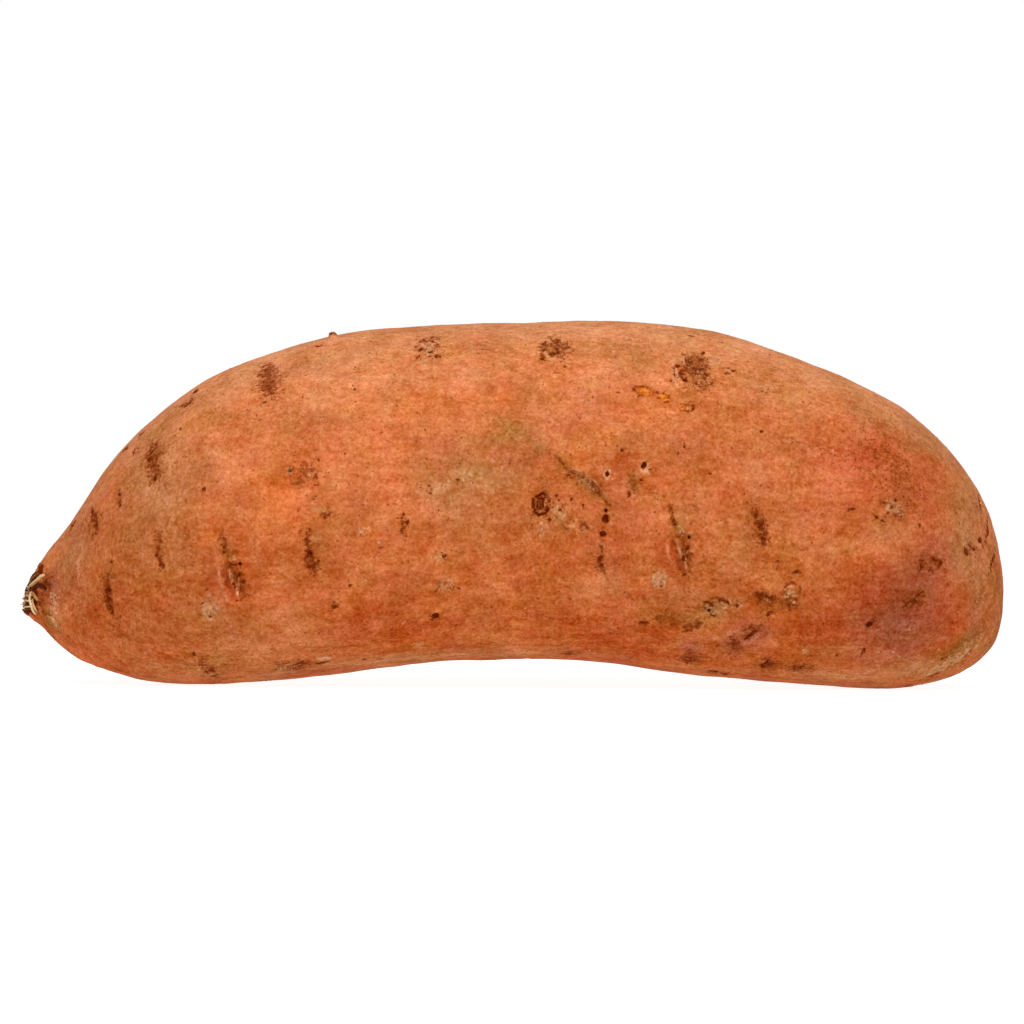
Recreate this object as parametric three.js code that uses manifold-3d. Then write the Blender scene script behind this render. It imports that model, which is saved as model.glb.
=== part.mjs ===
// A sweet potato: one swollen storage root of the sweet potato vine, washed and cured, in one piece.
// It lies arched on its hollow side, on two small flat spots near its ends.
// Millimetres, +Z up. +X runs from the woody stem end to the blunt tail end, -Y is the fuller-scarred front,
// and the origin is on the surface that the root rests on, below the middle of its box.
import * as THREE from "three";
import { mergeVertices } from "three/addons/utils/BufferGeometryUtils.js";
import Module from "manifold-3d";

// Driving dimensions.
const LENGTH = 180;             // stem stub to tail end
const FLAT_DEPTH = 0.15;        // how far the two resting spots are pressed flat

// Mesh density.
const AROUND = 44;              // faces round a section
const ALONG = 63;               // faces from the stem end to the tail end

// Section shape: 2 is an ellipse, and more is squarer. The underside grew flatter against the soil.
const UPPER_FULLNESS = 2.12;
const UNDER_FULLNESS = 2.6;

// Soft lengthwise ridges on the front and the back.
const RIDGES = 5;
const RIDGE_RISE = 0.012;       // as a share of the radius
const RIDGE_LEAN = 3;           // how far round the ridges drift from end to end, in radians of their own wave

// Sideways bend of the middle line: its size in percent of LENGTH, and the stretch of a sine wave that it follows.
const SWAY = 0.8;
const SWAY_START = -0.55 * Math.PI;
const SWAY_TURN = 1.7 * Math.PI;

// The root's outline, in percent of LENGTH: each rib joins a point of the arched back to one of the hollow side,
// and reaches forward (-Y) and back (+Y) of the line between them.
const STEM_TIP = { x: 0.3, z: 8.1 };
const TAIL_TIP = { x: 100.1, z: 9.1 };
const RIBS = [
  { top: [1.1, 10.7], under: [0.9, 6.9], front: 1.8, back: 1.9 },
  { top: [2.4, 13.0], under: [2.2, 5.9], front: 3.3, back: 3.5 },
  { top: [4.0, 15.0], under: [4.2, 4.0], front: 5.2, back: 5.6 },
  { top: [6.3, 18.2], under: [6.7, 2.4], front: 7.4, back: 7.9 },
  { top: [9.1, 22.5], under: [10.2, 1.2], front: 10.0, back: 10.4 },
  { top: [13.0, 26.6], under: [14.0, 0.3], front: 12.4, back: 12.6 },
  { top: [18.6, 30.9], under: [19.2, 0.0], front: 14.7, back: 14.4 },
  { top: [25.3, 33.8], under: [25.8, 0.5], front: 16.0, back: 15.4 },
  { top: [32.9, 35.9], under: [32.9, 1.3], front: 16.5, back: 16.1 },
  { top: [41.6, 36.8], under: [41.1, 2.3], front: 16.3, back: 16.4 },
  { top: [50.8, 37.1], under: [49.8, 2.8], front: 16.0, back: 16.8 },
  { top: [60.0, 37.3], under: [59.0, 2.6], front: 15.9, back: 17.0 },
  { top: [69.2, 36.5], under: [67.2, 1.4], front: 15.9, back: 16.8 },
  { top: [77.4, 34.2], under: [74.8, 0.8], front: 15.4, back: 16.0 },
  { top: [84.5, 31.4], under: [82.0, 0.2], front: 14.5, back: 14.7 },
  { top: [90.7, 27.8], under: [88.1, 0.0], front: 12.9, back: 12.8 },
  { top: [95.3, 23.3], under: [92.7, 0.7], front: 10.4, back: 10.1 },
  { top: [98.3, 18.6], under: [96.2, 2.1], front: 7.5, back: 7.2 },
  { top: [99.7, 13.5], under: [99.0, 4.6], front: 4.3, back: 4.1 },
];

// Dried strands at the broken stem end, in mm. They fan from an oval inside the root to a smaller oval at the break.
const STRAND_ROOT_RADIUS = 1.2;
const STRAND_TIP_RADIUS = 0.5;
const STRAND_SIDES = 6;
const STRAND_OVALS = {
  inside: { x: 7, lift: 1.6, height: 3.8, depth: 3.0 },
  broken: { x: 0, lift: 1.0, height: 2.5, depth: 1.5 },
};
// How far round the oval each strand sits, in turns from the top, and how far short of the tip it broke.
const STRANDS = [
  { turn: 0.0, short: 1.3 },
  { turn: 0.12, short: 0.6 },
  { turn: 0.26, short: 0.1 },
  { turn: 0.39, short: 0.5 },
  { turn: 0.5, short: 0.2 },
  { turn: 0.64, short: 0.0 },
  { turn: 0.77, short: 0.3 },
  { turn: 0.89, short: 0.9 },
];

const PERCENT = LENGTH / 100;
const NOTHING = 1e-6;           // a section smaller than this is a pole
const SAME_CORNER = 1e-4;       // corners closer than this are one corner
const wasm = await Module();
wasm.setup();

// The side outline as one closed smooth loop: out along the arched back, round the tail, home along the hollow side.
function sideOutline() {
  const point = ([x, z]) => new THREE.Vector3(x, 0, z);
  const back = RIBS.map((rib) => point(rib.top));
  const hollow = RIBS.map((rib) => point(rib.under)).reverse();
  const loop = [point([STEM_TIP.x, STEM_TIP.z]), ...back, point([TAIL_TIP.x, TAIL_TIP.z]), ...hollow];
  return new THREE.CatmullRomCurve3(loop, true, "catmullrom", 0.5);
}

// The plan outline in the same steps: x holds the reach to the front, and y the reach to the back.
function planOutline() {
  const front = RIBS.map((rib) => new THREE.Vector3(rib.front, rib.back, 0));
  const mirrored = [...front].reverse().map((reach) => reach.clone().negate());
  const closed = new THREE.Vector3(0, 0, 0);
  return new THREE.CatmullRomCurve3([closed, ...front, closed, ...mirrored], true, "catmullrom", 0.5);
}

const side = sideOutline();
const plan = planOutline();

// Sideways bend of the middle line at a share of the length from the stem end.
function sway(share) {
  return SWAY * Math.sin(SWAY_START + SWAY_TURN * share);
}

// A point of the skin: along runs from 0 at the stem end to 1 at the tail, and turn from the top towards the back.
function skinPoint(along, turn) {
  const top = side.getPoint(along / 2);
  const under = side.getPoint(1 - along / 2);
  const reach = plan.getPoint(along / 2);
  const middle = top.clone().add(under).multiplyScalar(0.5);
  const up = top.clone().sub(under);
  const halfHeight = up.length() / 2;
  const angle = 2 * Math.PI * turn;
  const rise = Math.cos(angle);
  const out = Math.sin(angle);
  const halfDepth = out < 0 ? reach.x : reach.y;
  if (halfHeight < NOTHING || halfDepth < NOTHING) {
    middle.y = sway(middle.x / 100);
    return middle.multiplyScalar(PERCENT);
  }
  const fullness = rise > 0 ? UPPER_FULLNESS : UNDER_FULLNESS;
  const reachUp = Math.abs(rise / halfHeight) ** fullness;
  const reachOut = Math.abs(out / halfDepth) ** fullness;
  const ridges = 1 + RIDGE_RISE * out ** 2 * Math.cos(RIDGES * angle + RIDGE_LEAN * along);
  const radius = ridges * (reachUp + reachOut) ** (-1 / fullness);
  up.normalize().multiplyScalar(radius * rise);
  middle.add(up);
  middle.y = sway(middle.x / 100) + radius * out;
  return middle.multiplyScalar(PERCENT);
}

// A closed three.js geometry as a solid, so that it can be joined and cut.
function solid(geometry) {
  const bare = geometry.clone();
  bare.deleteAttribute("normal");
  bare.deleteAttribute("uv");
  const merged = mergeVertices(bare, SAME_CORNER);
  return new wasm.Manifold(
    new wasm.Mesh({
      numProp: 3,
      vertProperties: merged.attributes.position.array,
      triVerts: new Uint32Array(merged.index.array),
    }),
  );
}

function geometryOf(shape) {
  const mesh = shape.getMesh();
  const geometry = new THREE.BufferGeometry();
  geometry.setAttribute("position", new THREE.BufferAttribute(mesh.vertProperties, 3));
  geometry.setIndex(new THREE.BufferAttribute(mesh.triVerts, 1));
  geometry.computeVertexNormals();
  return geometry;
}

// The swollen root: a sphere's grid drawn out to the skin, with its poles at the two ends.
function swollenRoot() {
  const geometry = new THREE.SphereGeometry(1, AROUND, ALONG);
  const position = geometry.attributes.position;
  const uv = geometry.attributes.uv;
  for (let i = 0; i < position.count; i++) {
    const point = skinPoint(1 - uv.getY(i), uv.getX(i) % 1);
    position.setXYZ(i, point.x, point.y, point.z);
  }
  return solid(geometry);
}

// The place of a strand on one of the two ovals round the stem tip.
function strandPlace(oval, turn, short) {
  const angle = 2 * Math.PI * turn;
  return new THREE.Vector3(
    STEM_TIP.x * PERCENT + oval.x + short,
    sway(0) * PERCENT - oval.depth * Math.sin(angle),
    STEM_TIP.z * PERCENT + oval.lift + oval.height * Math.cos(angle),
  );
}

// One dried strand of the broken stem, from inside the root out to where it broke.
function strand({ turn, short }) {
  const start = strandPlace(STRAND_OVALS.inside, turn, 0);
  const line = strandPlace(STRAND_OVALS.broken, turn, short).sub(start);
  const length = line.length();
  const geometry = new THREE.CylinderGeometry(STRAND_TIP_RADIUS, STRAND_ROOT_RADIUS, length, STRAND_SIDES);
  geometry.translate(0, length / 2, 0);
  const turned = new THREE.Quaternion().setFromUnitVectors(new THREE.Vector3(0, 1, 0), line.normalize());
  geometry.applyQuaternion(turned);
  geometry.translate(start.x, start.y, start.z);
  return solid(geometry);
}

// Everything under the resting plane, cut away to leave the two flat spots.
function ground() {
  const slab = new THREE.BoxGeometry(2 * LENGTH, 2 * LENGTH, LENGTH);
  slab.translate(LENGTH / 2, 0, FLAT_DEPTH - LENGTH / 2);
  return solid(slab);
}

const whole = STRANDS.map(strand).reduce((joined, piece) => joined.add(piece), swollenRoot());
const rested = whole.subtract(ground());

const skin = new THREE.MeshStandardMaterial({ color: "#c8703f", roughness: 0.7, metalness: 0 });
const root = new THREE.Mesh(geometryOf(rested), skin);
root.name = "sweet_potato_root";

// The frame's origin goes under the middle of the box, on the resting plane.
root.geometry.computeBoundingBox();
const box = root.geometry.boundingBox;
root.position.set(-(box.min.x + box.max.x) / 2, -(box.min.y + box.max.y) / 2, -box.min.z);

const sweetPotato = new THREE.Group();
sweetPotato.add(root);

export default sweetPotato;
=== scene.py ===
"""A sweet potato: one swollen root of the sweet potato vine, washed and cured, arched on its hollow side.

Its pieces follow in turn: the root and its skin, the dried stem stub, the breathing pores, the cork crumbs
on the scars and the stem's frayed fibres. Then come the floor, the room, the lamp and the camera. Sizes are
in mm unless they say otherwise.
"""
import math
import random

import bmesh
import bpy
import numpy as np
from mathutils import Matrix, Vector, noise


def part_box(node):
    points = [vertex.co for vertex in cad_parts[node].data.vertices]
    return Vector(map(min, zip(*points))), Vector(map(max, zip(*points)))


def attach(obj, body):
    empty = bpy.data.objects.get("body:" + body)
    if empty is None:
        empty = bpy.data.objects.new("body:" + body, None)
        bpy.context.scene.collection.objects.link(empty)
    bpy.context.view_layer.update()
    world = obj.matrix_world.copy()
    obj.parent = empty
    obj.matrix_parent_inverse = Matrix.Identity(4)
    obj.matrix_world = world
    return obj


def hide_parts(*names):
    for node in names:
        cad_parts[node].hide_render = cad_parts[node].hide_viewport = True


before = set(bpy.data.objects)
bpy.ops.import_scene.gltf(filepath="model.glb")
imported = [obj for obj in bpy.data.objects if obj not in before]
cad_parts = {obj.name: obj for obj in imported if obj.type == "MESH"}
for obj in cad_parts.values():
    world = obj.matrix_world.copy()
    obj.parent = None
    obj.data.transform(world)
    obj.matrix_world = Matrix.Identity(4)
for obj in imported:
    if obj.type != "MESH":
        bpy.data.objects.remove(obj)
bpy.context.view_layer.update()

# The root: a storage root that swelled in the soil, thick and arched, one piece of moist flesh under a thin
# skin. It follows the frame's own outline, ribs of the arched back and the hollow side, on a mesh that is
# finer at scars.
MM = 0.001
NODE = "sweet_potato_root"
LENGTH = 180.0
PERCENT = LENGTH / 100
UPPER_FULLNESS = 2.12
UNDER_FULLNESS = 2.6
RIDGES = 5
RIDGE_RISE = 0.012
RIDGE_LEAN = 3
TINIEST = 1e-6               # keeps the two tips, where a section closes, from dividing by 0
SWAY = 0.8
SWAY_START = -0.55 * math.pi
SWAY_TURN = 1.7 * math.pi

# In percent of LENGTH: x and z of the back, x and z of the hollow side, and the reach to front and back.
STEM_TIP = (0.3, 8.1)
TAIL_TIP = (100.1, 9.1)
RIBS = [
    (1.1, 10.7, 0.9, 6.9, 1.8, 1.9),
    (2.4, 13.0, 2.2, 5.9, 3.3, 3.5),
    (4.0, 15.0, 4.2, 4.0, 5.2, 5.6),
    (6.3, 18.2, 6.7, 2.4, 7.4, 7.9),
    (9.1, 22.5, 10.2, 1.2, 10.0, 10.4),
    (13.0, 26.6, 14.0, 0.3, 12.4, 12.6),
    (18.6, 30.9, 19.2, 0.0, 14.7, 14.4),
    (25.3, 33.8, 25.8, 0.5, 16.0, 15.4),
    (32.9, 35.9, 32.9, 1.3, 16.5, 16.1),
    (41.6, 36.8, 41.1, 2.3, 16.3, 16.4),
    (50.8, 37.1, 49.8, 2.8, 16.0, 16.8),
    (60.0, 37.3, 59.0, 2.6, 15.9, 17.0),
    (69.2, 36.5, 67.2, 1.4, 15.9, 16.8),
    (77.4, 34.2, 74.8, 0.8, 15.4, 16.0),
    (84.5, 31.4, 82.0, 0.2, 14.5, 14.7),
    (90.7, 27.8, 88.1, 0.0, 12.9, 12.8),
    (95.3, 23.3, 92.7, 0.7, 10.4, 10.1),
    (98.3, 18.6, 96.2, 2.1, 7.5, 7.2),
    (99.7, 13.5, 99.0, 4.6, 4.3, 4.1),
]
ribs = np.array(RIBS)
backs, hollows, reaches = ribs[:, 0:2], ribs[:, 2:4], ribs[:, 4:6]
side_loop = np.vstack([[STEM_TIP], backs, [TAIL_TIP], hollows[::-1]])
plan_loop = np.vstack([[(0, 0)], reaches, [(0, 0)], -reaches[::-1]])


def curve_at(before, here, after, later, t):
    """The smooth curve through four corners, at a share t of the way from here to after."""
    curve = (2 * before - 5 * here + 4 * after - later) * t**2
    curve = curve + (3 * here - before - 3 * after + later) * t**3
    return here + 0.5 * ((after - before) * t + curve)


def along_loop(corners, share):
    """Points of the closed smooth curve through corners, at shares of its steps from the first corner."""
    place = np.mod(share, 1) * len(corners)
    step = np.floor(place).astype(int)
    t = (place - step)[:, None]
    return curve_at(*(corners[(step + k) % len(corners)] for k in (-1, 0, 1, 2)), t)


def smooth_skin(along, turn):
    """Points of the unscarred skin. along is 0 at the stem and 1 at the tail, turn is 0 on top, 0.25 behind."""
    top = along_loop(side_loop, along / 2)
    under = along_loop(side_loop, 1 - along / 2)
    reach = np.abs(along_loop(plan_loop, along / 2))
    middle = (top + under) / 2
    up = top - under
    tall = np.maximum(np.linalg.norm(up, axis=1), TINIEST)
    angle = 2 * np.pi * turn
    rise, out = np.cos(angle), np.sin(angle)
    deep = np.maximum(np.where(out < 0, reach[:, 0], reach[:, 1]), TINIEST)
    fullness = np.where(rise > 0, UPPER_FULLNESS, UNDER_FULLNESS)
    squareness = np.abs(2 * rise / tall) ** fullness + np.abs(out / deep) ** fullness
    ridges = 1 + RIDGE_RISE * out**2 * np.cos(RIDGES * angle + RIDGE_LEAN * along)
    radius = ridges * squareness ** (-1 / fullness)
    flat = middle + up / tall[:, None] * (radius * rise)[:, None]
    sway = SWAY * np.sin(SWAY_START + SWAY_TURN * middle[:, 0] / 100)
    return np.column_stack([flat[:, 0], sway + radius * out, flat[:, 1]]) * PERCENT


def shares(rows, columns, first_turn, last_turn):
    """The along and the turn of each point of a grid over the skin, from end to end and between two turns."""
    grid = np.meshgrid(np.linspace(0, 1, rows), np.linspace(first_turn, last_turn, columns), indexing="ij")
    return [axis.ravel() for axis in grid]


# The frame's box says where the outline lies: at its tail end, its top, and midway from front to back.
low, high = (np.array(corner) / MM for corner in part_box(NODE))
sample = smooth_skin(*shares(401, 201, -0.5, 0.5))
offset = np.array([high[0], (low[1] + high[1]) / 2, high[2]])
offset -= [sample[:, 0].max(), (sample[:, 1].min() + sample[:, 1].max()) / 2, sample[:, 2].max()]


def skin_at(along, turn):
    return smooth_skin(np.asarray(along, float), np.asarray(turn, float)) + offset


# A mark on the front is placed as it shows from the viewer's side, at x and z percent of the root's outline.
VIEW_DISTANCE = 785.0
VIEW_HEIGHT = 17.8 * PERCENT
VIEW_MIDDLE = 50.0 * PERCENT
viewpoint = offset + [VIEW_MIDDLE, -offset[1] - VIEW_DISTANCE, VIEW_HEIGHT]
front_along, front_turn = shares(901, 301, -0.49, 0.0)
front_points = skin_at(front_along, front_turn)


def as_seen(points):
    """Where points show on the upright plane through the root's length, from the viewpoint, as x and z."""
    sight = points - viewpoint
    return (viewpoint + sight * (VIEW_DISTANCE / sight[:, 1])[:, None])[:, [0, 2]]


front_seen = as_seen(front_points)


def patch_at(along, turn):
    """The middle of a patch of skin, with its directions along the root, round it and out of it."""
    nudge = 1e-3
    places = skin_at([along, along + nudge, along - nudge, along, along],
                     [turn, turn, turn, turn + nudge, turn - nudge])
    right = places[1] - places[2]
    right /= np.linalg.norm(right)
    around = places[3] - places[4]
    around -= right * (around @ right)
    around /= np.linalg.norm(around)
    return places[0], right, around, np.cross(right, around)


def front_patch(x, z):
    """The patch of skin that shows at x and z percent on the front."""
    wanted = offset[[0, 2]] + np.array([x, z]) * PERCENT
    nearest = np.argmin(np.sum((front_seen - wanted) ** 2, axis=1))
    return patch_at(front_along[nearest], front_turn[nearest])


# What a scar does to the skin. lift raises it in mm, or sinks it where it is below 0. grit is how crumbly it
# is, ragged how uneven its edge is, beads how broken its line is, and over how far it hides what is under it. A
# crisp scar has a clear edge and the others fade out. rim is a raised pale ring round it, and edge a brown and
# red one. The rest is how much it shows of dead tissue, rough or tan cork, flesh, pale skin, tints and stipple.
SHOWS = ("dark", "brown", "cork", "flesh", "pale", "orange", "red", "tan", "purple", "olive", "light",
         "stipple")
SCARS = {
    "stain": dict(lift=-0.03, grit=0.06, ragged=0.6, brown=0.4, dark=0.04, stipple=0.45),
    "faint": dict(lift=-0.03, grit=0.05, ragged=0.5, brown=0.45, dark=0.15, stipple=0.5),
    "blotch": dict(lift=-0.08, grit=0.16, ragged=0.7, brown=0.72, dark=0.32, stipple=0.85),
    "streak": dict(lift=-0.2, grit=0.14, ragged=0.6, brown=0.9, dark=0.62, stipple=0.85),
    "pit": dict(lift=-0.6, ragged=0.12, crisp=1, over=1, brown=1, dark=1, rim=0.35),
    "dot": dict(lift=-0.2, ragged=0.25, brown=1, dark=0.8, rim=0.2),
    "cork": dict(lift=0.03, grit=0.1, ragged=0.5, over=0.3, cork=0.55, stipple=0.12),
    "patch": dict(lift=0.03, grit=0.05, ragged=0.4, crisp=1, over=0.2, cork=0.5, tan=0.5),
    "halo": dict(lift=0.06, ragged=0.3, over=0.5, pale=0.75),
    "crust": dict(lift=0.06, grit=0.22, ragged=0.5, cork=0.35, brown=0.5, dark=0.2, olive=0.2, stipple=0.8),
    "plate": dict(lift=0.16, grit=0.24, ragged=0.3, crisp=1, over=0.8, brown=0.76, dark=0.1, cork=0.34,
                  stipple=0.5),
    "flesh": dict(lift=-0.22, grit=0.1, ragged=0.35, crisp=1, over=1, flesh=1, edge=0.7),
    "ochre": dict(lift=0.1, grit=0.12, ragged=0.4, brown=0.3, olive=0.7, orange=0.4),
    "nub": dict(lift=0.95, grit=0.1, ragged=0.1, crisp=1, brown=0.9, dark=0.5),
    # The mouth's brown and dark are partly dead tissue and partly painted shadow inside the split.
    "mouth": dict(lift=-0.6, grit=0.12, ragged=0.3, brown=0.8, red=0.2, dark=0.25, stipple=0.3),
    # This crease's red-brown is painted shade in the fold beside the split.
    "groove": dict(lift=-0.45, red=0.7, brown=0.46),
    # This raised fold's pale and lightened colour is a painted highlight.
    "lip": dict(lift=0.4, over=0.5, pale=0.4, light=0.6),
    "strand": dict(lift=0.6, over=0.7, cork=0.62, olive=0.3),
    "ring": dict(lift=0.16, over=0.6, pale=0.8, beads=0.2),
    "gap": dict(lift=-0.4, over=1, crisp=1, dark=1, brown=1),
    "crack": dict(lift=-0.16, beads=0.35, brown=0.95, dark=0.56),
    "furrow": dict(lift=-0.32, beads=0.3, brown=0.85, dark=0.3, olive=0.3),
    "scratch": dict(lift=-0.06, beads=0.4, brown=0.6, olive=0.5),
    "bark": dict(lift=-0.1, grit=0.2, ragged=0.3, crisp=1, over=1, brown=1, dark=0.75),
    "break": dict(lift=-0.8, grit=0.1, ragged=0.2, crisp=1, over=1, brown=1, dark=0.8),
    "russet": dict(brown=0.32, red=0.55, stipple=0.35),
    "purple": dict(purple=0.75),
    "olive": dict(olive=0.8),
    "orange": dict(orange=0.9),
    "red": dict(red=0.8),
}

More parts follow.
